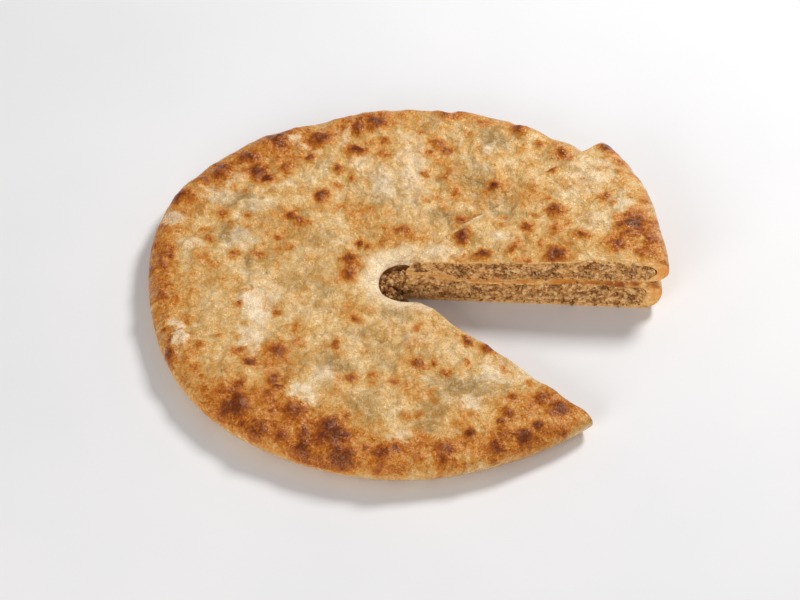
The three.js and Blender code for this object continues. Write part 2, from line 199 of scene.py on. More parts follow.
# and of the slice's top
SLICE_SPOTS = (
    (33, 11, 10, 0.9), (45, -3, 9, 0.9), (36, -3, 5, 0.4), (63, 1, 6, 0.55),
    (64, 9, 4, 0.4), (70, -9, 7, 0.5), (71, 17, 8, 0.65), (78, 4, 5, 0.45),
    (87, -5, 13, 0.85), (86, 14, 8, 0.45), (94, 19, 5, 0.4), (102, 8, 7, 0.6),
    (88, 29, 12, 0.85), (75, 26, 6, 0.6), (84, 38, 5, 0.45), (118, 39, 5, 0.65),
    (121, 35, 5, 0.6), (121, 82, 9, 0.8), (127, 70, 9, 0.55), (137, 58, 6, 0.45),
    (87, 63, 8, 0.65), (98, 72, 7, 0.6), (132, 17, 13, 0.9), (122, 0, 12, 0.8),
    (141, 5, 8, 0.8), (128, 8, 9, 0.6), (137, -6, 9, 0.55), (58, 22, 5, 0.35),
)
# soft browned areas: x, y, half width, half depth, turn in degrees, strength
PIE_BROWNED = (
    (-75, 98, 34, 17, 40, 0.42), (-112, 76, 16, 10, 45, 0.35), (-20, 112, 12, 24, 0, 0.3),
    (-137, 25, 14, 26, 0, 0.35), (-60, -122, 48, 24, -25, 0.42), (-100, -98, 24, 16, -50, 0.3),
    (-80, -68, 22, 12, -20, 0.4), (75, -108, 28, 24, -35, 0.58), (20, -134, 26, 14, 5, 0.4),
    (-32, 6, 9, 15, 0, 0.5), (-28, 45, 10, 22, 15, 0.35), (-140, -25, 12, 34, 8, 0.3),
    (-72, 48, 26, 22, 0, 0.14), (24, 100, 14, 16, 20, 0.4), (45, 122, 40, 12, -20, 0.2),
    (45, -122, 24, 14, 20, 0.35), (-15, 20, 16, 10, 0, 0.35), (-128, -62, 10, 26, 25, 0.2),
)
SLICE_BROWNED = (
    (130, 10, 17, 22, 0, 0.42), (146, 20, 8, 40, 0, 0.25), (77, 42, 14, 13, 0, 0.5),
    (122, 76, 14, 10, -20, 0.25), (95, 8, 30, 14, 0, 0.1), (70, -2, 40, 9, 0, 0.06),
)
# thin dough over the filling, greenish grey
PIE_THIN = (
    (-100, 30, 15, 15, 20, 0.8), (-104, 58, 14, 9, 20, 0.7), (-84, 44, 12, 12, 0, 0.6),
    (-38, -68, 16, 14, 0, 0.6), (-62, -70, 13, 11, 0, 0.7), (-14, -58, 18, 16, 0, 0.7),
    (-20, -104, 14, 20, 10, 0.6), (14, -112, 9, 20, -10, 0.95), (32, -88, 26, 12, -20, 0.7),
    (0, -33, 14, 9, 0, 0.7), (54, 108, 17, 15, -30, 0.85), (26, 45, 14, 9, 0, 0.8),
    (42, 78, 12, 22, 20, 0.6), (60, 50, 10, 10, 0, 0.6), (16, 122, 9, 12, 0, 0.6),
    (-20, 60, 11, 26, 10, 0.5), (-52, 82, 14, 12, 0, 0.4), (-60, 30, 16, 20, 0, 0.35),
    (-50, -10, 18, 26, 0, 0.4), (-90, 5, 12, 12, 0, 0.4), (-45, 20, 10, 26, 0, 0.3),
    (50, -86, 12, 9, -30, 0.7), (-128, 48, 9, 9, 0, 0.35), (2, 70, 14, 22, 0, 0.35),
)
SLICE_THIN = (
    (125, 32, 8, 12, 0, 0.5), (58, 33, 9, 8, 30, 0.6), (44, 14, 9, 7, 0, 0.35),
    (110, 60, 12, 10, 0, 0.2), (20, -2, 10, 5, 0, 0.2),
)
# pale raised places, creamy white: partly unbrowned dough and partly painted highlights where the
# buttered top glints
PIE_PALE_AND_HIGHLIGHTS = (
    (-127, -50, 5, 13, 15, 1.0), (-85, -29, 9, 18, 10, 0.9), (-85, -53, 9, 12, -10, 0.8),
    (-55, -93, 9, 9, 0, 0.8), (-44, -80, 8, 8, 0, 0.6), (-136, 42, 7, 8, 0, 0.8),
    (-125, 20, 7, 7, 0, 0.6), (-66, 110, 6, 5, 40, 0.9), (-61, 102, 5, 4, 0, 0.8),
    (-96, 27, 10, 10, 0, 0.5), (-108, 62, 14, 6, 10, 0.5), (52, 101, 4, 6, 0, 0.8),
    (-12, 72, 10, 12, 0, 0.6), (6, 84, 10, 30, 0, 0.45), (-86, 55, 8, 6, 0, 0.5),
    (-70, 68, 14, 6, 0, 0.3), (48, 28, 6, 6, 0, 0.5), (16, 12, 26, 7, 0, 0.4),
    (6, -24, 12, 7, -30, 0.6), (50, -80, 9, 8, 0, 0.6), (36, -102, 9, 6, 30, 0.6),
    (-2, -128, 9, 5, 0, 0.45), (-75, -20, 8, 9, 0, 0.4), (-100, 76, 12, 5, 60, 0.3),
    (-36, 112, 5, 10, 0, 0.5), (-25, 88, 7, 8, 0, 0.35), (-120, 90, 6, 4, 50, 0.3),
    (20, -140, 14, 3, 0, 0.3), (66, -76, 8, 6, -40, 0.4), (10, -52, 12, 10, 0, 0.25),
)
# the same for the slice's top: pale dough and painted highlights
SLICE_PALE_AND_HIGHLIGHTS = (
    (110, 58, 16, 14, 0, 0.4), (126, 32, 8, 10, 0, 0.6), (20, 0, 20, 6, 0, 0.4),
    (100, 44, 16, 8, 0, 0.25), (60, 12, 10, 6, 0, 0.3), (110, 20, 12, 9, 0, 0.25),
    (148, 30, 5, 24, 0, 0.3),
)
# browning of the rim by direction about the hole: degrees, strength, reach inwards
RIM_BROWNING = (
    (-170, 0.55, 26), (-150, 0.42, 26), (-130, 0.6, 38), (-110, 0.8, 46), (-90, 0.62, 30),
    (-70, 0.6, 26), (-55, 0.7, 38), (-44, 0.72, 44), (0, 0.55, 22), (20, 0.3, 12),
    (40, 0.25, 10), (60, 0.3, 10), (78, 0.4, 14), (95, 0.45, 20), (112, 0.62, 30),
    (130, 0.7, 34), (146, 0.66, 28), (160, 0.4, 20), (175, 0.6, 26),
)

# ---- smooth functions


def smoothstep(value, low, high):
    """0 below low, 1 above high and a soft rise between them."""
    share = np.clip((value - low) / (high - low), 0, 1)
    return share * share * (3 - 2 * share)


def bell(distance, wide):
    return np.exp(-((distance / wide) ** 2))


def rim_radius(angle):
    """The outline's distance from the hole's axis."""
    radius = np.full_like(angle, RIM_RADIUS)
    for count, height, at in RIM_WAVES:
        radius += height * np.cos(count * angle - math.radians(at))
    return radius


def grown(rho, angle):
    """The distance from the hole's axis of a ring whose round radius is rho."""
    share = smoothstep(rho, RIM_BAND, RIM_RADIUS - RIM_BAND / 2)
    return rho + share * (rim_radius(angle) - RIM_RADIUS)


def top_height(rho):
    """The pie's top without its lumps and waves."""
    ring = RING_HEIGHT * bell(rho - RING_RADIUS, RING_WIDTH)
    return TOP_HEIGHT + ring + RIM_RISE * smoothstep(rho, *RISE_BAND)


def lip_droop(rho):
    return LIP_DROOP * (np.maximum(0, HOLE_RADIUS + DROOP_BAND - rho) / DROOP_BAND) ** 2


def lip_top(rho):
    return top_height(rho) - lip_droop(rho)


def top_dough(rho):
    """How thick the dough over the filling is."""
    return TOP_DOUGH + RIM_EXTRA * smoothstep(rho, *(RIM_RADIUS - inset for inset in EXTRA_BAND))


def ceiling(rho):
    return lip_top(rho) - top_dough(rho)


def slice_top(rho):
    start = top_height(LEVEL_RADIUS) + SLICE_THICKNESS
    hump = SLICE_HUMP * bell(rho - HUMP_RADIUS, HUMP_WIDTH)
    return start + SLICE_RISE * smoothstep(rho, *SLICE_RISE_BAND) + hump


def slice_rest(rho):
    return top_height(np.maximum(rho, LEVEL_RADIUS)) + REST_CLEARANCE


def slice_floor(rho):
    return slice_rest(rho) + BOTTOM_DOUGH


def slice_ceiling(rho):
    return slice_top(rho) - top_dough(rho)


def off_side(sector, degrees, x, y):
    """The signed distance of a place from the line along one of a sector's cuts."""
    side = math.radians(degrees)
    return (y - sector["y"]) * math.cos(side) - (x - sector["x"]) * math.sin(side)


def covered(x, y, outside, inside):
    """How far a place is under the slice: 0 at one distance inside its cuts, and 1 at another."""
    share = np.ones_like(x)
    for degrees, sign in ((SLICE_SECTOR["start"], 1), (SLICE_SECTOR["end"], -1)):
        share = share * smoothstep(sign * off_side(SLICE_SECTOR, degrees, x, y), outside, inside)
    return share


def swell(x, y):
    """Broad gentle waves of the top."""
    lift = np.zeros_like(x)
    for across, turn, height, shift in SWELLS:
        along = x * math.cos(math.radians(turn)) + y * math.sin(math.radians(turn))
        lift += height * np.sin(2 * math.pi * along / across + shift)
    return lift


def lumps(rows, x, y):
    lift = np.zeros_like(x)
    for lump_x, lump_y, wide, height in rows:
        lift += height * bell(np.hypot(x - lump_x, y - lump_y), wide)
    return lift


def lean_of_rim(x, y):
    angle = np.arctan2(y - HOLE_Y, x - HOLE_X)
    share = smoothstep(np.hypot(x - HOLE_X, y - HOLE_Y), *RISE_BAND)
    return RIM_LEAN * share * np.cos(angle - math.radians(LEAN_DIRECTION))


def pie_lift(x, y):
    return swell(x, y) + lumps(PIE_LUMPS, x, y) + lean_of_rim(x, y)


def slice_lift(x, y, height):
    """The slice's unevenness: the pie's at its underside, and its own at its top."""
    below = pie_lift(x, y)
    own = swell(x + 70, y - 40) + lumps(SLICE_LUMPS, x, y) + lean_of_rim(x, y)
    return below + (own - below) * smoothstep(height, *SLICE_RAISED)


# ---- noise


# what stirs whole numbers of 32 bits into random looking ones
WORD = 0xFFFFFFFF
SEED_FACTOR = 2654435761
AXIS_FACTORS = (73856093, 19349663, 83492791)
MIX_FACTOR = 2246822519


def hashed(cells, seed):
    """Repeatable numbers from 0 to 1 for rows of whole numbers."""
    mixed = np.full(cells.shape[:-1], seed * SEED_FACTOR & WORD, np.uint64)
    for axis, factor in zip(range(cells.shape[-1]), AXIS_FACTORS):
        part = (cells[..., axis].astype(np.int64) & WORD).astype(np.uint64)
        mixed = (mixed ^ (part * np.uint64(factor))) & np.uint64(WORD)
        mixed = (mixed * np.uint64(MIX_FACTOR)) & np.uint64(WORD)
        mixed ^= mixed >> np.uint64(15)
    return mixed.astype(float) / (WORD + 1)


def slope_table(width, axes):
    """Random slopes at the corners of a lattice that repeats after that many steps."""
    return np.random.default_rng(9).uniform(-1, 1, (width,) * axes + (axes,))


SLOPES = {2: slope_table(256, 2), 3: slope_table(48, 3)}
SEED_STEP = (37, 101, 59)
NOISE_GAIN = 1.7


def smooth_noise(points, across, seed):
    """Gradient noise between about -1 and 1 for an array of points, with features of that width."""
    scaled = points / across
    cell = np.floor(scaled).astype(np.int64)
    inside = scaled - cell
    weight = inside**3 * (inside * (inside * 6 - 15) + 10)
    total = np.zeros(len(points))
    axes = points.shape[1]
    table = SLOPES[axes]
    moved = cell + np.array(SEED_STEP)[:axes] * seed
    for corner in itertools.product((0, 1), repeat=axes):
        offset = np.array(corner)
        share = np.prod(np.where(offset == 1, weight, 1 - weight), axis=1)
        at = (moved + offset) % table.shape[0]
        slope = table[tuple(at.T)]
        total += share * np.sum(slope * (inside - offset), axis=1)
    return total * NOISE_GAIN


def layered_noise(points, across, seed, layers=4, fade=0.55):
    """Noise with finer and weaker noise on top."""
    total = np.zeros(len(points))
    strength = 1.0
    for layer in range(layers):
        total += strength * smooth_noise(points, across / 2**layer, seed + layer)
        strength *= fade
    return total


JITTER = 0.85


def nearest_grains(points, across, seed):
    """For points in a plane: the distances to the two nearest jittered grains and a number per grain."""
    scaled = points / across
    cell = np.floor(scaled).astype(np.int64)
    first = np.full(len(points), np.inf)
    second = np.full(len(points), np.inf)
    label = np.zeros(len(points))
    for offset in itertools.product((-1, 0, 1), repeat=2):
        near = cell + np.array(offset)
        at_x = near[:, 0] + 0.5 + JITTER * (hashed(near, seed) - 0.5)
        at_y = near[:, 1] + 0.5 + JITTER * (hashed(near, seed + 1) - 0.5)
        distance = np.hypot(scaled[:, 0] - at_x, scaled[:, 1] - at_y)
        closer = distance < first
        second = np.where(closer, first, np.minimum(second, distance))
        label = np.where(closer, hashed(near, seed + 2), label)
        first = np.where(closer, distance, first)
    return first, second, label


# ---- areas of the top


def ellipses(rows, x, y):
    """The strongest of some soft ellipses at each point."""
    found = np.zeros_like(x)
    for at_x, at_y, half_width, half_depth, turn, strength in rows:
        cosine = math.cos(math.radians(turn))
        sine = math.sin(math.radians(turn))
        along = ((x - at_x) * cosine + (y - at_y) * sine) / half_width
        across = ((y - at_y) * cosine - (x - at_x) * sine) / half_depth
        reach = np.hypot(along, across)
        found = np.maximum(found, strength * (1 - smoothstep(reach, 0.25, 1.25)))
    return found


def blisters(rows, x, y):
    """Darkness and dome height of round blisters at each point."""
    dark = np.zeros_like(x)
    dome = np.zeros_like(x)
    for at_x, at_y, wide, darkness in rows:
        reach = np.hypot(x - at_x, y - at_y) / (wide * BLISTER_SPREAD / 2)
        dark = np.maximum(dark, darkness * (0.66 * bell(reach, 0.72) + 0.34 * bell(reach, 1.2)))
        height = min(0.12 * wide, 1.2) * (0.5 + 0.5 * darkness)
        dome = np.maximum(dome, height * np.clip(1 - reach * reach, 0, 1) ** 1.2)
    return dark, dome


def rim_browning(angle, inset):
    """How strongly the rim is browned, by direction and distance in from the outline."""
    degrees = np.degrees(angle)
    table = np.array(RIM_BROWNING, float)
    around = np.concatenate([table[-1:] - [360, 0, 0], table, table[:1] + [360, 0, 0]])
    strength = np.interp(degrees, around[:, 0], around[:, 1])
    reach = np.interp(degrees, around[:, 0], around[:, 2])
    return strength * (1 - smoothstep(inset / reach, 0.3, 1.15))


def freckles(seed):
    """Small seeded spots, crowded towards the rim."""
    rng = np.random.default_rng(seed)
    rows = []
    for _ in range(FRECKLES):
        if rng.random() < FRECKLES_ON_RIM:
            radius = RIM_RADIUS - abs(rng.normal(0, 20))
        else:
            radius = RIM_RADIUS * math.sqrt(rng.random())
        angle = rng.uniform(-math.pi, math.pi)
        wide = rng.uniform(2.0, 7.0)
        at_x = HOLE_X + radius * math.cos(angle)
        at_y = HOLE_Y + radius * math.sin(angle)
        rows.append((at_x, at_y, wide, 0.12 + 0.6 * rng.random() ** 1.6))
    return rows


# ---- mesh building


def place(sector, rho, share):
    """Where a ring's point lies in plan: rings are round about the hole, and end on the two cuts."""
    inward = np.clip(rho / sector["blend"], 0, 1)
    centre_x = sector["x"] + (HOLE_X - sector["x"]) * inward
    centre_y = sector["y"] + (HOLE_Y - sector["y"]) * inward
    ends = []
    for degrees in (sector["start"], sector["end"]):
        side = math.radians(degrees)
        off = off_side(sector, degrees, centre_x, centre_y)
        angle = np.full_like(rho, side)
        for _ in range(4):
            radius = np.maximum(grown(rho, angle), 1e-6)
            angle = side - np.arcsin(np.clip(off / radius, -1, 1))
        ends.append(angle)
    angle = ends[0] + (ends[1] - ends[0]) * share
    radius = grown(rho, angle)
    return centre_x + radius * np.cos(angle), centre_y + radius * np.sin(angle), angle


def arc(centre, widths, start, end, steps):
    """Points on a part of an ellipse, without its first one."""
    points = []
    for i in range(1, steps + 1):
        angle = math.radians(start + (end - start) * i / steps)
        points.append((centre[0] + widths[0] * math.cos(angle), centre[1] + widths[1] * math.sin(angle)))
    return points


def stations(start, end, spacing, height_at):
    """Points from one distance to another, without the first one, at heights from a function."""
    steps = max(1, round(abs(end - start) / spacing))
    radii = start + (end - start) * np.arange(1, steps + 1) / steps
    return list(zip(radii, height_at(radii)))


def level(height):
    """A height that is the same at all distances, for stations."""
    return lambda radii: np.full_like(radii, height)


def swept_mesh(bm, steps):
    """Pushes the section in bm along Y from 0 to 1, in steps, and gives the closed mesh."""
    pushed = bmesh.ops.extrude_face_region(bm, geom=list(bm.faces), use_keep_orig=True)
    far_end = [part for part in pushed["geom"] if isinstance(part, bmesh.types.BMVert)]
    bmesh.ops.translate(bm, verts=far_end, vec=(0, 1, 0))
    sides = [edge for edge in bm.edges if abs(edge.verts[0].co.y - edge.verts[1].co.y) > 0.5]
    bmesh.ops.subdivide_edges(bm, edges=sides, cuts=steps - 1)
    ends = [face for face in bm.faces if len(face.verts) > 4]
    for face in ends:
        face.material_index = 1
    bmesh.ops.triangulate(bm, faces=ends, quad_method="BEAUTY", ngon_method="BEAUTY")
    return mesh_from(bm)


def mesh_from(bm):
    """Turns a bmesh into a mesh, and frees it."""
    mesh = bpy.data.meshes.new("piece")
    bm.to_mesh(mesh)
    bm.free()
    return mesh


def read_points(mesh):
    points = np.empty(len(mesh.vertices) * 3)
    mesh.vertices.foreach_get("co", points)
    return points.reshape(-1, 3)


def read_values(mesh, name):
    values = np.empty(len(mesh.vertices))
    mesh.attributes[name].data.foreach_get("value", values)
    return values


def finished(mesh, name, points, layers, materials, inside_box=True):
    """Writes points in millimetres, closes poles, turns faces outwards and makes the object."""
    if inside_box:
        low, high = (np.array(corner) / MM for corner in CAD_BOUNDS)
        over = np.maximum(points - (high - SOFT_LIMIT), 0) / SOFT_LIMIT
        points = np.minimum(points, high - SOFT_LIMIT * np.exp(-over))
        points = np.maximum(points, low)
    mesh.vertices.foreach_set("co", (points * MM).ravel())
    for key, values in layers.items():
        mesh.attributes.new(key, "FLOAT", "POINT").data.foreach_set("value", values)
    bm = bmesh.new()
    bm.from_mesh(mesh)
    bmesh.ops.remove_doubles(bm, verts=bm.verts, dist=MERGE_DISTANCE * MM)
    bmesh.ops.recalc_face_normals(bm, faces=bm.faces)
    bm.to_mesh(mesh)
    bm.free()
    mesh.name = name
    made = bpy.data.objects.new(name, mesh)
    bpy.context.scene.collection.objects.link(made)
    for material in materials:
        mesh.materials.append(material)
    flags = np.zeros(len(mesh.polygons), np.int32)
    mesh.polygons.foreach_get("material_index", flags)
    mesh.polygons.foreach_set("use_smooth", flags == 0)
    return made


# ---- dough


def inner_outline(nose, lip, roof, floor, middle, end, spacings):
    """Where dough meets filling: outwards from the lip under the top, and back along the bottom."""
    shoulder = end - FILLING_ROUNDING
    points = stations(nose, lip, spacings[0], roof)
    points += stations(lip, shoulder, spacings[1], roof)
    rise = float(roof(shoulder)) - middle
    points += arc((shoulder, middle), (FILLING_ROUNDING, rise), 90, 0, 7)
    drop = middle - float(floor(shoulder))
    points += arc((shoulder, middle), (FILLING_ROUNDING, drop), 0, -90, 7)
    points += stations(shoulder, 0, spacings[2], floor)
    return points


def pie_section(spacing):
    """The dough's outline in a plane through the axis: its outside, and where it meets the filling."""
    foot = RIM_RADIUS - FOOT_INSET
    shoulder = RIM_RADIUS - SHOULDER_INSET
    lip = HOLE_RADIUS + LIP_BAND
    nose = HOLE_RADIUS + NOSE_RADIUS
    nose_height = float(lip_top(HOLE_RADIUS)) - NOSE_RADIUS
    points = [(radius, 0.0) for radius in (0, *FOOT_RINGS, foot)]
    points += arc((foot, WIDEST_HEIGHT), (FOOT_INSET, WIDEST_HEIGHT), -90, 0, 9)
    rise = float(lip_top(shoulder)) - WIDEST_HEIGHT
    points += arc((shoulder, WIDEST_HEIGHT), (SHOULDER_INSET, rise), 0, 90, 11)
    points += stations(shoulder, lip, spacing, lip_top)
    points += stations(lip, nose, 0.9, lip_top)
    points += arc((nose, nose_height), (NOSE_RADIUS, NOSE_RADIUS), 90, 270, 5)
    end = RIM_RADIUS - RIM_DOUGH
    floor = level(BOTTOM_DOUGH)
    return points, inner_outline(nose, lip, ceiling, floor, FILLING_MIDDLE, end, (1.5, 5, 14))


def slice_section(spacing):
    """The same for the slice's dough."""
    shoulder = RIM_RADIUS - SHOULDER_INSET
    inset = SHOULDER_INSET + SLICE_OVERHANG
    lip = SLICE_LIP_RADIUS + SLICE_LIP_BAND
    nose = SLICE_LIP_RADIUS + NOSE_RADIUS
    nose_height = float(slice_top(0.0)) - SLICE_LIP_DROP
    points = [(0.0, float(slice_rest(0.0)))]
    points += stations(0, shoulder, 3, slice_rest)
    drop = SLICE_WIDEST_HEIGHT - float(slice_rest(shoulder))
    points += arc((shoulder, SLICE_WIDEST_HEIGHT), (inset, drop), -90, 0, 9)
    rise = float(slice_top(shoulder)) - SLICE_WIDEST_HEIGHT
    points += arc((shoulder, SLICE_WIDEST_HEIGHT), (inset, rise), 0, 90, 9)
    points += stations(shoulder, lip, spacing, slice_top)
    points += arc((nose, nose_height), (NOSE_RADIUS, NOSE_RADIUS), 90, 270, 5)
    end = RIM_RADIUS - SLICE_RIM_DOUGH
    middle = float(slice_floor(end) + slice_ceiling(end)) / 2
    return points, inner_outline(nose, lip, slice_ceiling, slice_floor, middle, end, (1, 4, 4))


def section_face(bm, outside, inside):
    """Makes the closed section as one face, and marks what is outside."""
    layer = bm.verts.layers.float.new("outer")
    made = []
    for weight, points in ((1.0, outside), (0.0, inside)):
        for radius, height in points:
            vert = bm.verts.new((radius, 0, height))
            vert[layer] = weight
            made.append(vert)
    for first, second in zip(made, made[1:] + made[:1]):
        bm.edges.new((first, second))
    bmesh.ops.contextual_create(bm, geom=list(bm.edges))


def wandering(x, y, amount, seed):
    """The same places moved about a little, so that round areas get uneven edges."""
    flat = np.stack([x, y], axis=1)
    moved_x = x + amount * (smooth_noise(flat, 9, seed) + 0.5 * smooth_noise(flat, 3.6, seed + 5))
    moved_y = y + amount * (smooth_noise(flat, 9, seed + 11) + 0.5 * smooth_noise(flat, 3.6, seed + 16))
    return moved_x, moved_y


def surface_fields(x, y, angle, inset, tables, seed):
    """Browning, blister, thin and pale amounts of the baked top, the pale one partly painted highlights,
    and its fine relief.
    """
    spots, browned, thin_rows, pale_and_highlight_rows = tables
    flat = np.stack([x, y], axis=1)
    soft_x, soft_y = wandering(x, y, 5.0, seed)
    near_x, near_y = wandering(x, y, 2.1, seed + 40)
    dark, dome = blisters(spots, near_x, near_y)
    small_dark, small_dome = blisters(freckles(seed), near_x, near_y)
    rim = rim_browning(angle, inset + 5 * smooth_noise(flat, 14, seed + 3))
    area = ellipses(browned, soft_x, soft_y)
    brown = 1 - (1 - rim) * (1 - area)
    patches = layered_noise(flat, 14, seed + 20, 3, 0.5)
    brown = np.clip(brown * (1 + 0.4 * patches) + 0.26 * np.maximum(patches - 0.08, 0), 0, 1)
    dark = np.maximum(dark, small_dark * np.clip(brown * 1.8, 0.55, 1))
    thin = ellipses(thin_rows, soft_x, soft_y)
    thin = np.clip(thin + 0.45 * layered_noise(flat, 17, seed + 31, 3), 0, 1) * (1 - brown)
    # pale dough, and painted highlights set down as pale colour
    pale_and_highlight = ellipses(pale_and_highlight_rows, soft_x, soft_y)
    bubble = np.clip(smooth_noise(flat, 8.5, seed + 70) - 0.05, 0, 1)
    dark = np.maximum(dark, 0.7 * smoothstep(bubble, 0.1, 0.6) * smoothstep(brown, 0.4, 0.95))
    billow = 0.3 - np.abs(smooth_noise(flat, 11, seed + 50))
    pebble = np.clip(smooth_noise(flat, 4.6, seed + 75), 0, 1)
    relief = UNEVENNESS * layered_noise(flat, 12, seed + 60, 4, 0.5)
    relief += BILLOW_HEIGHT * billow * (1 - 0.5 * smoothstep(brown, 0.3, 0.8))
    relief += PEBBLE_HEIGHT * pebble * smoothstep(brown, 0.2, 0.6)
    relief += BUBBLE_HEIGHT * bubble + BLISTER_HEIGHT * dome + small_dome
    relief += PALE_HEIGHT * pale_and_highlight - THIN_DEPTH * thin - SINKING
    relief *= 1 - 0.65 * smoothstep(-inset, -9, -1)
    deep = np.maximum(-SHALLOW_DIP - relief, 0)
    relief = np.maximum(relief, -SHALLOW_DIP) - DEEPEST_DIP * (1 - np.exp(-deep / DEEPEST_DIP))
    return brown, dark, thin, pale_and_highlight, relief


def edge_distance(sector, x, y):
    """How far a point is from the nearer of a sector's two cuts."""
    nearest = np.full_like(x, np.inf)
    for degrees in (sector["start"], sector["end"]):
        side = math.radians(degrees)
        along = (x - sector["x"]) * math.cos(side) + (y - sector["y"]) * math.sin(side)
        off = np.abs(off_side(sector, degrees, x, y))
        nearest = np.where(along > 0, np.minimum(nearest, off), nearest)
    return nearest


def drawn_to_tip(rho, share, height):
    """Brings the lip of the slice's top nearer to the tip on the way to the back cut."""
    near_tip = 1 - smoothstep(rho, SLICE_LIP_RADIUS, 28)
    drawn_in = SLICE_LIP_SKEW * smoothstep(share, 0.05, 0.7) * near_tip
    return rho - drawn_in * smoothstep(height, 24, 29)


def with_corner(x, y, rho, angle):
    """Lets the slice's outer corner stick out at the front cut."""
    out = SLICE_CORNER * bell(angle - math.radians(SLICE_SECTOR["start"]), math.radians(7))
    out = out * smoothstep(rho, RIM_RADIUS - SHOULDER_INSET, RIM_RADIUS)
    return x + out * np.cos(angle), y + out * np.sin(angle)


def low_side(height, angle, is_slice):
    """1 on the underside and low on the rim, where it is paler, and 0 higher up."""
    if is_slice:
        return 1 - smoothstep(height, 22, 27)
    facing = smoothstep(-np.sin(angle), 0.1, 0.7)
    return 1 - smoothstep(height - 4.5 * facing, 4, 11)


def dough_piece(name, is_slice, spacing, steps, relief_scale, materials):
    """Sweeps the dough's section round its sector, and gives the baked top its relief and browning."""
    sector = SLICE_SECTOR if is_slice else PIE_SECTOR
    bm = bmesh.new()
    section_face(bm, *(slice_section(spacing) if is_slice else pie_section(spacing)))
    mesh = swept_mesh(bm, steps)
    rho, share, height = read_points(mesh).T
    outer = read_values(mesh, "outer")
    if is_slice:
        rho = drawn_to_tip(rho, share, height)
    x, y, angle = place(sector, rho, share)
    if is_slice:
        x, y = with_corner(x, y, rho, angle)
        lift = slice_lift(x, y, height)
        upper = outer * smoothstep(height, *SLICE_BAKED)
        hidden = np.zeros_like(x)
        tables = (SLICE_SPOTS, SLICE_BROWNED, SLICE_THIN, SLICE_PALE_AND_HIGHLIGHTS)
        seed = SLICE_SEED
    else:
        under_slice = top_height(np.maximum(rho, LEVEL_RADIUS)) - lip_top(np.maximum(rho, HOLE_RADIUS))
        lift = pie_lift(x, y) + under_slice * covered(x, y, -3, 0.5)
        lift = lift * smoothstep(height, *PIE_RAISED)
        upper = outer * smoothstep(height, *PIE_BAKED)
        hidden = covered(x, y, -1.5, 0.5)
        tables = (PIE_SPOTS, PIE_BROWNED, PIE_THIN, PIE_PALE_AND_HIGHLIGHTS)
        seed = PIE_SEED
    inset = RIM_RADIUS - rho
    wrapped = np.arctan2(np.sin(angle), np.cos(angle))
    brown, dark, thin, pale_and_highlight, relief = surface_fields(x, y, wrapped, inset, tables, seed)
    lip = np.zeros_like(x) if is_slice else bell(rho - HOLE_RADIUS, LIP_WIDTH) * (1 - hidden) * upper
    edge = bell(edge_distance(sector, x, y), EDGE_WIDTH)
    relief = relief_scale * relief * (1 - 0.7 * lip) * (1 - 0.6 * edge)
    height = height + lift + upper * (1 - hidden) * (relief - EDGE_SINK * edge)
    low = low_side(height, angle, is_slice)
    under = layered_noise(np.stack([x, y], axis=1), 18, seed + 90, 4)
    brown = brown * (1 - low) + low * np.clip(0.16 + 0.12 * under, 0, 1)
    stain = hidden * upper * smoothstep(inset, 8, 14)
    layers = {
        "brown": np.clip(np.maximum(brown * (1 - 0.9 * lip), 0.75 * stain), 0, 1),
        "dark": dark * upper * (1 - lip),
        "thin": thin * upper * (1 - lip),
        # pale dough at the hole's lip, and pale places that are partly painted highlights
        "pale_and_highlight": np.maximum(pale_and_highlight * upper, 0.8 * lip) * (1 - stain),
    }
    return finished(mesh, name, np.stack([x, y, height], axis=1), layers, materials)


# ---- filling


MEAT_SEED = 900
OTHER_WALL = 400  # how far along the pattern the second cut starts
FLATTENED = 1.25  # how much wider than high the grains are
LARGE_GRAIN = 3.0
SMALL_GRAIN = 1.3
DEEPEST_PIT = 1.8
FURTHEST_OUT = 1.1
HEAP_RADIUS = 18.5  # how far from the axis meat is heaped up to the slice
HOLE_MEAT_HEIGHT = 9.8
HOLE_LUMP = 4.6


def meat_wall(along, height, seed):
    """How far minced meat stands out of a cut, the painted shade in the gaps between its grains with
    darker blots, and how light it is there.
    """
    flat = np.stack([along, height * FLATTENED], axis=1)
    shift = [smooth_noise(flat, 2.1, seed + 1), smooth_noise(flat, 2.1, seed + 2)]
    wandered = flat + 0.5 * np.stack(shift, axis=1)
    near, far, label = nearest_grains(wandered, LARGE_GRAIN, seed)
    tiny, _, tiny_label = nearest_grains(wandered, SMALL_GRAIN, seed + 9)
    broad = layered_noise(flat, 9, seed + 20, 3)
    gap = 1 - smoothstep(far - near, 0.0, 0.4)
    grain = (1 - near**2) * (0.4 + 0.6 * label)
    push = 0.6 * broad + 0.8 * (grain - 0.55) - 0.5 * gap
    push += 0.3 * (1 - tiny**2) * tiny_label
    blot = layered_noise(flat, 5.5, seed + 40, 3, 0.6)
    # painted shade: darker in the gaps where grains meet, plus darker blots at random
    hollow = np.clip(0.1 + 0.42 * gap - 0.5 * broad - 0.55 * blot - 0.4 * (label - 0.5), 0, 1)
    return push, hollow, 0.5 * label + 0.5 * tiny_label


def meat_bottom(rho):
    return np.full_like(rho, BOTTOM_DOUGH + CLEARANCE)


def meat_top(rho):
    """Level with the ceiling under the dough, and lower in the steam hole."""
    hidden = ceiling(np.maximum(rho, HOLE_RADIUS + 2)) - CLEARANCE
    share = smoothstep(rho, 14.6, 17.6)
    return (HOLE_MEAT_HEIGHT - 0.04 * rho) * (1 - share) + hidden * share


def slice_meat_bottom(rho):
    return slice_floor(rho) + CLEARANCE


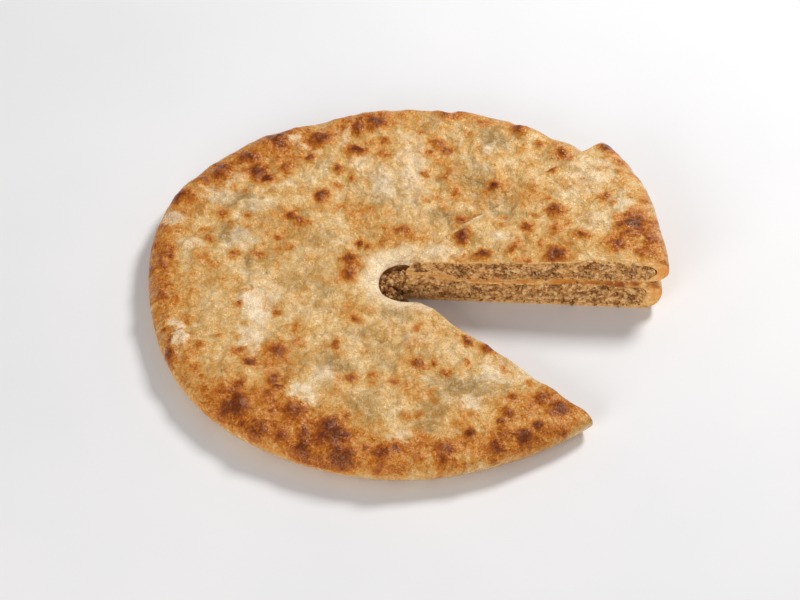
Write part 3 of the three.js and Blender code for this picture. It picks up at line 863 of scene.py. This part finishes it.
def slice_meat_top(rho):
    """Level with the ceiling under the dough, and lower at the bare tip."""
    hidden = slice_ceiling(rho) - CLEARANCE
    share = smoothstep(rho, SLICE_LIP_RADIUS, SLICE_LIP_RADIUS + 4)
    return (float(slice_ceiling(0.0)) - 7 + 0.4 * rho) * (1 - share) + hidden * share


# each filling's sector, outer end, underside and top
PIE_FILLING = (PIE_SECTOR, RIM_RADIUS - RIM_DOUGH, meat_bottom, meat_top)
SLICE_FILLING = (SLICE_SECTOR, RIM_RADIUS - SLICE_RIM_DOUGH, slice_meat_bottom, slice_meat_top)


def moved_out(sector, first, x, y, distance):
    """Places moved out of the solid, square to the first or the second cut."""
    side = np.radians(np.where(first, sector["start"], sector["end"]))
    outward = np.where(first, -1.0, 1.0) * distance
    return x - np.sin(side) * outward, y + np.cos(side) * outward


def rounded_end(rho, end, bottom, top):
    """Where the filling starts and stops in height: its outer end is round."""
    inside = np.clip((rho - end + FILLING_ROUNDING) / FILLING_ROUNDING, 0, 1)
    fall = np.sqrt(np.clip(1 - inside**2, 0.0004, 1))
    middle = (bottom(rho) + top(rho)) / 2
    return middle + (bottom(rho) - middle) * fall, middle + (top(rho) - middle) * fall


def heaped(x, y, rho, low, high, up, below):
    """Heights in the pie's filling, which reaches up to the slice where that lies over the hole."""
    height = low + (high - low) * up
    lift = pie_lift(x, y) + lip_droop(np.maximum(rho, HOLE_RADIUS)) * below
    lift = lift * smoothstep(height, *PIE_RAISED)
    full = top_height(LEVEL_RADIUS) - 0.3 + pie_lift(x, y) - lift
    top = high + (full - high) * (1 - smoothstep(rho, 16.5, HEAP_RADIUS))
    height = height + (low + (top - low) * up - height) * below * (rho < HEAP_RADIUS)
    return height + lift


def lumpy_hole(x, y, in_hole, layers):
    """Coarse lumps of meat in the steam hole: their heights, with painted shade between the lumps and
    over the hole, and their lightness, in layers.
    """
    flat = np.stack([x, y], axis=1)
    wandered = flat + 0.9 * smooth_noise(flat, 3, 77)[:, None]
    near, far, label = nearest_grains(wandered, HOLE_LUMP, 70)
    shown = in_hole > 0.2
    # painted shade: darker in the gaps between lumps, and a little all over the hole
    layers["hollow"] = np.where(shown, np.clip(1.2 - 1.6 * (far - near), 0.2, 1), layers["hollow"])
    layers["tint"] = np.where(shown, 0.75 * label, layers["tint"])
    return 2.4 * (1 - near**2) * label + 1.2 * smooth_noise(flat, 2.2, 71) - 0.6


def meat_piece(name, is_slice, columns, rows, steps, material):
    """A solid of meat between two heights, with fine grain where it is cut."""
    sector, end, bottom, top = SLICE_FILLING if is_slice else PIE_FILLING
    bm = bmesh.new()
    bmesh.ops.create_grid(bm, x_segments=columns, y_segments=rows, size=0.5)
    bmesh.ops.rotate(bm, verts=bm.verts, cent=(0, 0, 0), matrix=Matrix.Rotation(math.pi / 2, 3, "X"))
    bmesh.ops.translate(bm, verts=bm.verts, vec=(0.5, 0, 0.5))
    mesh = swept_mesh(bm, steps)
    across, share, up = np.clip(read_points(mesh), 0, 1).T
    rho = end * across
    at_end = (share < 1e-5) | (share > 1 - 1e-5)
    share = 0.5 - 0.5 * np.cos(math.pi * share)  # shorter steps towards both cuts
    x, y, _ = place(sector, rho, share)
    low, high = rounded_end(rho, end, bottom, top)
    if is_slice:
        height = low + (high - low) * up
        height = height + slice_lift(x, y, height)
    else:
        below = covered(x, y, -3, 1)
        height = heaped(x, y, rho, low, high, up, below)
    first_side = share < 0.5
    reach = np.hypot(x - sector["x"], y - sector["y"])
    along = reach + np.where(first_side, 0, OTHER_WALL)
    push, hollow, tint = meat_wall(along, height, MEAT_SEED + 7 * is_slice)
    border = smoothstep(np.minimum(up, 1 - up), 0.0, 0.05)
    border = border * smoothstep(across, 0.995, 0.97) * smoothstep(reach, 1.0, 5.0)
    push = np.clip(np.where(at_end, (push + 0.25) * border, 0), -DEEPEST_PIT, FURTHEST_OUT)
    x, y = moved_out(sector, first_side, x, y, push)
    layers = {"hollow": hollow, "tint": tint}
    if not is_slice:
        in_hole = (1 - smoothstep(rho, HOLE_RADIUS, 17)) * up**2 * (1 - below)
        height = height + in_hole * lumpy_hole(x, y, in_hole, layers)
    return finished(mesh, name, np.stack([x, y, height], axis=1), layers, [material])


# ---- loose grains


GRAIN_SEED = 31
HOLE_GRAIN_REACH = 14.0
HOLE_GRAIN_SMALLEST = 0.4
HOLE_GRAIN_LARGEST = 1.9


def grain_cloud(name, centres, sizes, seed, material):
    """Many small irregular lumps joined in one mesh."""
    rng = np.random.default_rng(seed)
    bm = bmesh.new()
    bmesh.ops.create_uvsphere(bm, u_segments=6, v_segments=5, radius=1.0)
    layer = bm.verts.layers.float.new("grain")
    count = len(centres)
    made = 1
    while made < count:
        wanted = min(made, count - made)
        source = [vert for vert in bm.verts if vert[layer] < wanted]
        edges = {edge for vert in source for edge in vert.link_edges}
        faces = {face for vert in source for face in vert.link_faces}
        copied = bmesh.ops.duplicate(bm, geom=source + list(edges) + list(faces))
        for part in copied["geom"]:
            if isinstance(part, bmesh.types.BMVert):
                part[layer] += made
        made += wanted
    mesh = mesh_from(bm)
    points = read_points(mesh)
    grain = np.rint(read_values(mesh, "grain")).astype(int)
    turns = np.linalg.qr(rng.normal(size=(count, 3, 3)))[0]
    turns *= np.sign(np.linalg.det(turns))[:, None, None]
    stretch = rng.uniform(0.45, 0.85, size=(count, 3))
    stretch[:, 0] = rng.uniform(0.9, 1.9, count)
    points = np.einsum("nij,nj->ni", turns[grain], points * stretch[grain])
    points = points * sizes[grain][:, None] + centres[grain]
    shift = [smooth_noise(points, 1.0, seed + axis) for axis in range(3)]
    points = points + 0.5 * sizes[grain][:, None] * np.stack(shift, axis=1)
    shade = rng.uniform(0, 0.6, count)[grain]
    layers = {"hollow": shade, "tint": rng.random(count)[grain]}
    return finished(mesh, name, points, layers, [material])


def wall_grain_places(is_slice, first, count, rng):
    """Random places on one cut face of a filling."""
    sector, end, bottom, top = SLICE_FILLING if is_slice else PIE_FILLING
    reach = rng.uniform(14 if is_slice else 6, RIM_RADIUS, count)
    side = math.radians(sector["start"] if first else sector["end"])
    x = sector["x"] + reach * math.cos(side)
    y = sector["y"] + reach * math.sin(side)
    rho = np.hypot(x - HOLE_X, y - HOLE_Y)
    angle = np.arctan2(y - HOLE_Y, x - HOLE_X)
    rho = rho - (grown(rho, angle) - rho)
    low, high = rounded_end(rho, end, bottom, top)
    height = low + (high - low) * rng.uniform(-0.1, 1.06 if first else 0.9, count)
    if is_slice:
        height = height + slice_lift(x, y, height)
    else:
        height = height + pie_lift(x, y) * smoothstep(height, *PIE_RAISED)
    x, y = moved_out(sector, first, x, y, rng.normal(0.0, 0.35, count))
    return np.stack([x, y, height], axis=1)[rho < end - 1]


def hole_grain_places(count, rng):
    """Random places on the filling in the steam hole, off the gap and the slice."""
    radius = HOLE_GRAIN_REACH * np.sqrt(rng.random(count))
    angle = rng.uniform(0, 2 * math.pi, count)
    x = HOLE_X + radius * np.cos(angle)
    y = HOLE_Y + radius * np.sin(angle)
    kept = off_side(PIE_SECTOR, PIE_SECTOR["start"], x, y) > 0.5
    kept |= off_side(PIE_SECTOR, PIE_SECTOR["end"], x, y) < -1.2
    kept |= x < PIE_SECTOR["x"] - 1
    kept &= covered(x, y, -2.0, -1.0) < 0.5
    x = x[kept]
    y = y[kept]
    height = meat_top(np.hypot(x - HOLE_X, y - HOLE_Y)) + pie_lift(x, y) * 0.6
    return np.stack([x, y, height + rng.uniform(-0.6, 1.0, len(x))], axis=1)


# ---- materials


def tone(red, green, blue):
    """A screen colour of 0 to 255 as the linear one that shaders use."""
    linear = []
    for value in (red, green, blue):
        share = value / 255
        linear.append(share / 12.92 if share <= 0.04045 else ((share + 0.055) / 1.055) ** 2.4)
    return (*linear, 1.0)


class Shader:
    """Short ways to build a material's nodes."""

    def __init__(self, name):
        self.material = bpy.data.materials.new(name)
        self.material.use_nodes = True
        self.tree = self.material.node_tree
        self.tree.nodes.clear()
        place = self.node("ShaderNodeTexCoord").outputs["Object"]
        self.place = self.vector("SCALE", {0: place, "Scale": 1 / MM})

    def node(self, kind, inputs=None, **settings):
        made = self.tree.nodes.new(kind)
        for key, value in settings.items():
            setattr(made, key, value)
        for key, value in (inputs or {}).items():
            if isinstance(value, bpy.types.NodeSocket):
                self.tree.links.new(value, made.inputs[key])
            else:
                made.inputs[key].default_value = value
        return made

    def vector(self, operation, inputs, output=0):
        return self.node("ShaderNodeVectorMath", inputs, operation=operation).outputs[output]

    def noise(self, across, detail=3.0, roughness=0.55, warp=0.0, place=None):
        inputs = {
            "Vector": place or self.place,
            "Scale": 1 / across,
            "Detail": detail,
            "Roughness": roughness,
            "Distortion": warp,
        }
        return self.node("ShaderNodeTexNoise", inputs).outputs["Fac"]

    def streaks(self, across, along):
        """Noise drawn out from the steam hole to the rim, of that width halfway out."""
        from_hole = self.vector("SUBTRACT", {0: self.place, 1: (HOLE_X, HOLE_Y, 0)})
        flat = self.vector("MULTIPLY", {0: from_hole, 1: (1, 1, 0)})
        outward = self.vector("NORMALIZE", {0: flat})
        around = self.vector("SCALE", {0: outward, "Scale": RIM_RADIUS / 2 / across})
        depth = self.math("DIVIDE", self.vector("LENGTH", {0: flat}, "Value"), along)
        apart = self.node("ShaderNodeCombineXYZ", {"Z": depth}).outputs[0]
        return self.noise(1.0, 2.0, 0.5, 0.4, self.vector("ADD", {0: around, 1: apart}))

    def attribute(self, name):
        return self.node("ShaderNodeAttribute", attribute_name=name).outputs["Fac"]

    def math(self, operation, first, second=0.5, third=0.5, clamp=False):
        made = self.node("ShaderNodeMath", {0: first, 1: second, 2: third}, operation=operation)
        made.use_clamp = clamp
        return made.outputs[0]

    def range(self, value, low, high, to_low=0.0, to_high=1.0):
        made = self.node(
            "ShaderNodeMapRange",
            {"Value": value, "From Min": low, "From Max": high, "To Min": to_low, "To Max": to_high},
        )
        return made.outputs["Result"]

    def ramp(self, value, stops):
        made = self.node("ShaderNodeValToRGB", {"Fac": value})
        elements = made.color_ramp.elements
        while len(elements) < len(stops):
            elements.new(1.0)
        for element, (position, colour) in zip(elements, stops):
            element.position = position
            element.color = tone(*colour)
        return made.outputs["Color"]

    def mix(self, share, first, second, blend="MIX"):
        inputs = {0: share, 6: first, 7: second}
        made = self.node("ShaderNodeMix", inputs, data_type="RGBA", blend_type=blend)
        return made.outputs[2]

    def bump(self, height, strength, distance, normal=None):
        inputs = {"Height": height, "Strength": strength, "Distance": distance * MM}
        if normal is not None:
            inputs["Normal"] = normal
        return self.node("ShaderNodeBump", inputs).outputs["Normal"]

    def surface(self, **inputs):
        named = {key.replace("_", " "): value for key, value in inputs.items()}
        shader = self.node("ShaderNodeBsdfPrincipled", named)
        self.node("ShaderNodeOutputMaterial", {"Surface": shader.outputs[0]})
        return self.material


CRUST_TONES = (
    (0.0, (248, 222, 180)), (0.15, (236, 200, 146)), (0.3, (224, 178, 110)), (0.45, (212, 152, 74)),
    (0.58, (204, 124, 38)), (0.72, (172, 90, 18)), (0.86, (142, 64, 9)), (1.0, (108, 42, 3)),
)
# noise layers of the crust's colour: across, strength where calm and where browned
CRUST_LAYERS = ((20, 0.7, 0.34), (6.0, 0.45, 0.5), (2.3, 0.4, 0.5), (0.9, 0.45, 0.6))
CRUMB_TONES = ((0.3, (200, 134, 60)), (0.48, (234, 180, 106)), (0.66, (252, 216, 154)))
OIL_TONE = (214, 134, 40)
BURNT_TONE = (138, 56, 14)
SKIN_TONE = (232, 146, 62)
MEAT_TONES = (
    (0.22, (160, 102, 42)), (0.4, (206, 146, 78)), (0.58, (230, 176, 108)), (0.82, (248, 208, 150)),
)
FLOOR_TONES = ((0.3, (236, 236, 239)), (0.7, (241, 241, 243)))


def crust_material(settings):
    """The baked top and rim: browned by attribute, with fine noise, painted highlights among its pale
    places, and glossy with butter.
    """
    s = Shader("baked_crust")
    brown = s.attribute("brown")
    dark = s.attribute("dark")
    thin = s.attribute("thin")
    pale_and_highlight = s.attribute("pale_and_highlight")
    amount = s.math("MULTIPLY_ADD", s.math("POWER", brown, 0.8), 0.36, 0.27)
    for across, calm, browned in CRUST_LAYERS:
        layer = s.math("SUBTRACT", s.noise(across, 2, 0.55, 0.3), 0.5)
        amount = s.math("MULTIPLY_ADD", layer, s.range(brown, 0.1, 0.6, calm, browned), amount)
    fine = s.math("SUBTRACT", s.noise(2.2, 2, 0.5), 0.5)
    spot = s.math("MULTIPLY_ADD", fine, s.math("MULTIPLY", dark, 0.6), dark)
    amount = s.math("MULTIPLY_ADD", spot, s.range(brown, 0.0, 0.8, 0.86, 0.56), amount)
    drawn = s.range(s.streaks(1.5, 16), 0.56, 0.74)
    drawn = s.math("MULTIPLY", drawn, s.range(s.noise(32, 2, 0.5), 0.45, 0.62))
    amount = s.math("MULTIPLY_ADD", drawn, -0.2, amount)
    amount = s.math("MULTIPLY_ADD", pale_and_highlight, -0.2, amount, clamp=True)
    colour = s.ramp(amount, CRUST_TONES)
    clear = s.range(amount, 0.36, 0.62, 1.0, 0.0)
    seen = s.math("MULTIPLY_ADD", s.math("SUBTRACT", s.noise(5.0, 3, 0.55), 0.5), 1.2, thin)
    seen = s.math("MULTIPLY", s.range(seen, 0.05, 1.0), s.math("MULTIPLY", clear, 0.85))
    colour = s.mix(seen, colour, (*settings.thin_colour, 1.0))
    # pale dough and painted highlights, mixed towards a near-white cream
    light = s.math("MULTIPLY_ADD", s.math("SUBTRACT", s.noise(4.5, 2, 0.5), 0.5), 1.1, pale_and_highlight)
    light = s.math("MULTIPLY", s.range(light, 0.0, 1.05), s.math("MULTIPLY", clear, 0.92))
    colour = s.mix(light, colour, (*settings.pale_and_highlight_colour, 1.0))
    colour = s.mix(1.0, colour, s.range(s.noise(0.8, 2, 0.7), 0.25, 0.75, 0.7, 1.26), "MULTIPLY")
    rough = s.range(s.noise(4.0, 3, 0.6), 0.3, 0.7, 0.16, 0.36)
    normal = s.bump(s.noise(6.0, 2, 0.45), 1.0, 2.8)
    normal = s.bump(s.noise(2.0, 2, 0.5), 1.0, 0.7, normal)
    normal = s.bump(s.noise(0.8, 2, 0.6), 1.0, 0.4, normal)
    return s.surface(
        Base_Color=colour,
        Roughness=rough,
        Specular_IOR_Level=0.5,
        Specular_Tint=(1.0, 0.8, 0.5, 1.0),
        Subsurface_Weight=0.08,
        Subsurface_Radius=(0.004, 0.0022, 0.0012),
        Subsurface_Scale=0.5,
        Normal=normal,
    )


def crumb_material():
    """The pale inside of the dough where it is cut, oily and burnt in places between the two layers."""
    s = Shader("cut_dough")
    colour = s.ramp(s.noise(1.8, 5, 0.65), CRUMB_TONES)
    spot = s.node("ShaderNodeSeparateXYZ", {0: s.place}).outputs
    between = s.math("MULTIPLY", s.range(spot["Z"], 15.5, 17.5), s.range(spot["Z"], 23.0, 20.5))
    outer = s.math("MULTIPLY", between, s.range(spot["X"], 15, 75, 0.15, 1.0))
    oily = s.math("MULTIPLY", outer, s.range(s.noise(11, 3, 0.6), 0.36, 0.5, 0.0, 0.95))
    colour = s.mix(oily, colour, tone(*OIL_TONE))
    outer = s.math("MULTIPLY", between, s.range(spot["X"], 100, 124, 0.15, 1.0))
    burnt = s.math("MULTIPLY", outer, s.range(s.noise(7, 3, 0.6), 0.42, 0.56, 0.0, 0.9))
    colour = s.mix(burnt, colour, tone(*BURNT_TONE))
    patchy = s.range(s.noise(4, 3, 0.6), 0.3, 0.5, 0.4, 0.9)
    skin = s.math("MULTIPLY", s.range(spot["X"], 141, 150), patchy)
    colour = s.mix(skin, colour, tone(*SKIN_TONE))
    normal = s.bump(s.noise(0.8, 4, 0.6), 0.6, 0.4)
    return s.surface(Base_Color=colour, Roughness=0.7, Specular_IOR_Level=0.3, Normal=normal)


def meat_material(settings):
    """Minced meat: a tone for each grain, with painted shade in the hollows between grains and darker
    blots.
    """
    s = Shader("minced_filling")
    mixed = s.math("MULTIPLY", s.noise(1.3, 3, 0.6), 0.5)
    mixed = s.math("MULTIPLY_ADD", s.attribute("tint"), 0.62, mixed)
    colour = s.ramp(mixed, MEAT_TONES)
    # painted shade in the gaps between grains and in the steam hole, mixed with random darker blots
    shadow = s.math("MULTIPLY_ADD", s.noise(1.0, 3, 0.6), 0.5, s.attribute("hollow"))
    colour = s.mix(s.range(shadow, 0.3, 1.05, 0.0, 0.95), colour, (*settings.hollow_colour, 1.0))
    rough = s.range(s.noise(2.0, 3, 0.5), 0.3, 0.7, 0.35, 0.7)
    normal = s.bump(s.noise(0.8, 3, 0.6), 0.8, 0.5)
    return s.surface(Base_Color=colour, Roughness=rough, Specular_IOR_Level=0.3, Normal=normal)


def floor_material():
    """A plain light floor."""
    s = Shader("pale_floor")
    colour = s.ramp(s.noise(160, 3, 0.5), FLOOR_TONES)
    return s.surface(Base_Color=colour, Roughness=0.8, Specular_IOR_Level=0.2)


# ---- settings


def colour_property(name, description, linear):
    return bpy.props.FloatVectorProperty(
        name=name, description=description, default=linear, min=0.0, max=1.0, subtype="COLOR"
    )


class DoughSettings(bpy.types.PropertyGroup):
    spacing: bpy.props.FloatProperty(
        name="Spacing",
        description="Distance between the rings of points on the top",
        default=1.25 * MM,
        unit="LENGTH",
    )
    pie_steps: bpy.props.IntProperty(
        name="Pie steps", description="Steps round the pie", default=520
    )
    slice_steps: bpy.props.IntProperty(
        name="Slice steps", description="Steps across the slice", default=128
    )
    relief: bpy.props.FloatProperty(
        name="Relief",
        description="Strength of the fine unevenness of the top",
        default=1.0,
        subtype="FACTOR",
    )
    thin_colour: colour_property(
        "Thin dough", "Colour of thin dough over the filling", tone(156, 120, 64)[:3]
    )
    # colour of pale dough and of the painted highlights
    pale_and_highlight_colour: colour_property(
        "Pale dough", "Colour of pale raised places", tone(254, 232, 200)[:3]
    )


class FillingSettings(bpy.types.PropertyGroup):
    columns: bpy.props.IntProperty(
        name="Columns", description="Faces along each cut wall", default=330
    )
    rows: bpy.props.IntProperty(name="Rows", description="Faces up each cut wall", default=32)
    steps: bpy.props.IntProperty(
        name="Steps", description="Steps round the pie's filling", default=56
    )
    # the colour of the painted shade between grains of meat
    hollow_colour: colour_property(
        "Hollows", "Colour of the hollows between grains", tone(122, 70, 22)[:3]
    )


class GrainSettings(bpy.types.PropertyGroup):
    per_wall: bpy.props.IntProperty(
        name="Grains per wall", description="Loose grains on each cut wall", default=700
    )
    in_hole: bpy.props.IntProperty(
        name="Grains in the hole", description="Loose grains tried in the steam hole", default=620
    )
    smallest: bpy.props.FloatProperty(
        name="Smallest", description="Half width of the smallest grain", default=0.35 * MM, unit="LENGTH"
    )
    largest: bpy.props.FloatProperty(
        name="Largest", description="Half width of the largest grain", default=1.15 * MM, unit="LENGTH"
    )


class StageSettings(bpy.types.PropertyGroup):
    lens: bpy.props.FloatProperty(
        name="Lens", description="Focal length on a 36 mm sensor, in millimetres", default=112.5
    )
    camera_at: bpy.props.FloatVectorProperty(
        name="Camera place",
        description="Where the camera stands",
        default=(-0.00225, -0.99817, 1.06017),
        subtype="TRANSLATION",
        unit="LENGTH",
    )
    camera_tilt: bpy.props.FloatProperty(
        name="Camera tilt",
        description="Angle between the view and straight down",
        default=math.radians(43.07),
        subtype="ANGLE",
    )
    key_power: bpy.props.FloatProperty(
        name="Key power", description="Power of the main light in watts", default=19.8
    )
    key_colour: colour_property("Key colour", "Colour of the main light", (1.0, 0.98, 0.95))
    fill_power: bpy.props.FloatProperty(
        name="Fill power", description="Power of the low light from the front in watts", default=8.3
    )
    fill_colour: colour_property("Fill colour", "Colour of the low light", (1.0, 0.96, 0.9))
    sky_strength: bpy.props.FloatProperty(
        name="Sky strength", description="Strength of the light from all round", default=0.33
    )
    sky_colour: colour_property("Sky colour", "Colour of the light from all round", (0.97, 0.985, 1.0))


# ---- operators


def material_named(name, maker, *settings):
    """The material of that name, which its maker makes the first time."""
    return bpy.data.materials.get(name) or maker(*settings)


class PIE_OT_dough(bpy.types.Operator):
    """Builds the dough of the pie and of the slice"""

    bl_idname = "pie.dough"
    bl_label = "Dough"

    def execute(self, context):
        settings = context.scene.pie_dough
        materials = [
            material_named("baked_crust", crust_material, settings),
            material_named("cut_dough", crumb_material),
        ]
        spacing = settings.spacing / MM
        pie = dough_piece("pie_dough", False, spacing, settings.pie_steps, settings.relief, materials)
        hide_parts("pie_crust")
        fine = spacing * SLICE_FINENESS
        cut = dough_piece("slice_dough", True, fine, settings.slice_steps, settings.relief, materials)
        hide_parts("slice_crust")
        for piece in (pie, cut):
            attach(piece, "root")
        return {"FINISHED"}


class PIE_OT_filling(bpy.types.Operator):
    """Builds the minced meat of the pie and of the slice"""

    bl_idname = "pie.filling"
    bl_label = "Filling"

    def execute(self, context):
        settings = context.scene.pie_filling
        material = material_named("minced_filling", meat_material, settings)
        faces = (settings.columns, settings.rows)
        pie = meat_piece("pie_meat", False, *faces, settings.steps, material)
        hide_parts("pie_filling")
        cut = meat_piece("slice_meat", True, *faces, max(6, settings.steps // 4), material)
        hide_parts("slice_filling")
        for piece in (pie, cut):
            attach(piece, "root")
        return {"FINISHED"}


class PIE_OT_grains(bpy.types.Operator):
    """Scatters loose grains of meat over the cut walls and in the steam hole"""

    bl_idname = "pie.grains"
    bl_label = "Loose grains"

    def execute(self, context):
        settings = context.scene.pie_grains
        material = material_named("minced_filling", meat_material, context.scene.pie_filling)
        rng = np.random.default_rng(GRAIN_SEED)
        walls = []
        for first in (True, False):
            for is_slice in (False, True):
                walls.append(wall_grain_places(is_slice, first, settings.per_wall, rng))
        places = np.concatenate(walls)
        small = settings.smallest / MM
        large = settings.largest / MM
        sizes = small + (large - small) * rng.random(len(places)) ** 1.8  # mostly small ones
        piece = grain_cloud("wall_grains", places, sizes, GRAIN_SEED + 10, material)
        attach(piece, "root")
        places = hole_grain_places(settings.in_hole, rng)
        spread = HOLE_GRAIN_LARGEST - HOLE_GRAIN_SMALLEST
        sizes = HOLE_GRAIN_SMALLEST + spread * rng.random(len(places)) ** 2.6
        piece = grain_cloud("hole_grains", places, sizes, GRAIN_SEED + 11, material)
        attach(piece, "root")
        return {"FINISHED"}


FLOOR_HALF = 3000
FLOOR_DROP = 0.05


def area_light(name, at, size, power, colour):
    """A round lamp at a place in metres, aimed at the middle of the pie."""
    data = bpy.data.lights.new(name, "AREA")
    data.shape = "DISK"
    data.size = size
    data.energy = power
    data.color = colour
    light = bpy.data.objects.new(name, data)
    light.location = at
    tilt = math.acos(at[2] / math.hypot(*at))
    light.rotation_euler = (tilt, 0, math.atan2(-at[0], at[1]) + math.pi)
    bpy.context.scene.collection.objects.link(light)


class PIE_OT_stage(bpy.types.Operator):
    """Adds the floor, the soft lights and the camera"""

    bl_idname = "pie.stage"
    bl_label = "Stage"

    def execute(self, context):
        settings = context.scene.pie_stage
        bm = bmesh.new()
        bmesh.ops.create_grid(bm, x_segments=8, y_segments=8, size=FLOOR_HALF)
        bmesh.ops.translate(bm, verts=bm.verts, vec=(0, 0, -FLOOR_DROP))
        mesh = mesh_from(bm)
        material = material_named("pale_floor", floor_material)
        floor = finished(mesh, "floor", read_points(mesh), {}, [material], inside_box=False)
        area_light("key", (0.8, 0.8, 1.12), 0.45, settings.key_power, settings.key_colour)
        area_light("fill", (-0.6, -1.1, 0.5), 0.8, settings.fill_power, settings.fill_colour)
        world = bpy.data.worlds.new("soft_room")
        world.use_nodes = True
        background = world.node_tree.nodes["Background"]
        background.inputs["Color"].default_value = (*settings.sky_colour, 1.0)
        background.inputs["Strength"].default_value = settings.sky_strength
        context.scene.world = world
        data = bpy.data.cameras.new("camera")
        data.lens = settings.lens
        data.sensor_width = 36
        camera = bpy.data.objects.new("camera", data)
        camera.location = settings.camera_at
        camera.rotation_euler = (settings.camera_tilt, 0, 0)
        context.scene.collection.objects.link(camera)
        context.scene.camera = camera
        context.scene.view_settings.view_transform = "Standard"
        return {"FINISHED"}


class PIE_PT_panel(bpy.types.Panel):
    """Lists the steps that build the pie"""

    bl_label = "Stuffed flat pie"
    bl_idname = "PIE_PT_panel"
    bl_space_type = "VIEW_3D"
    bl_region_type = "UI"
    bl_category = "Pie"

    def draw(self, context):
        for settings, operator in STEPS:
            box = self.layout.box()
            group = getattr(context.scene, settings)
            for key in group.__annotations__:
                box.prop(group, key)
            box.operator(operator)


STEPS = (
    ("pie_dough", "pie.dough"),
    ("pie_filling", "pie.filling"),
    ("pie_grains", "pie.grains"),
    ("pie_stage", "pie.stage"),
)
GROUPS = {
    "pie_dough": DoughSettings,
    "pie_filling": FillingSettings,
    "pie_grains": GrainSettings,
    "pie_stage": StageSettings,
}
CLASSES = (*GROUPS.values(), PIE_OT_dough, PIE_OT_filling, PIE_OT_grains, PIE_OT_stage, PIE_PT_panel)


def register():
    for each in CLASSES:
        bpy.utils.register_class(each)
    for key, group in GROUPS.items():
        setattr(bpy.types.Scene, key, bpy.props.PointerProperty(type=group))


def unregister():
    for key in GROUPS:
        delattr(bpy.types.Scene, key)
    for each in reversed(CLASSES):
        bpy.utils.unregister_class(each)


def main():
    register()
    bpy.ops.pie.dough()
    bpy.ops.pie.filling()
    bpy.ops.pie.grains()
    bpy.ops.pie.stage()


if __name__ == "__main__":
    main()
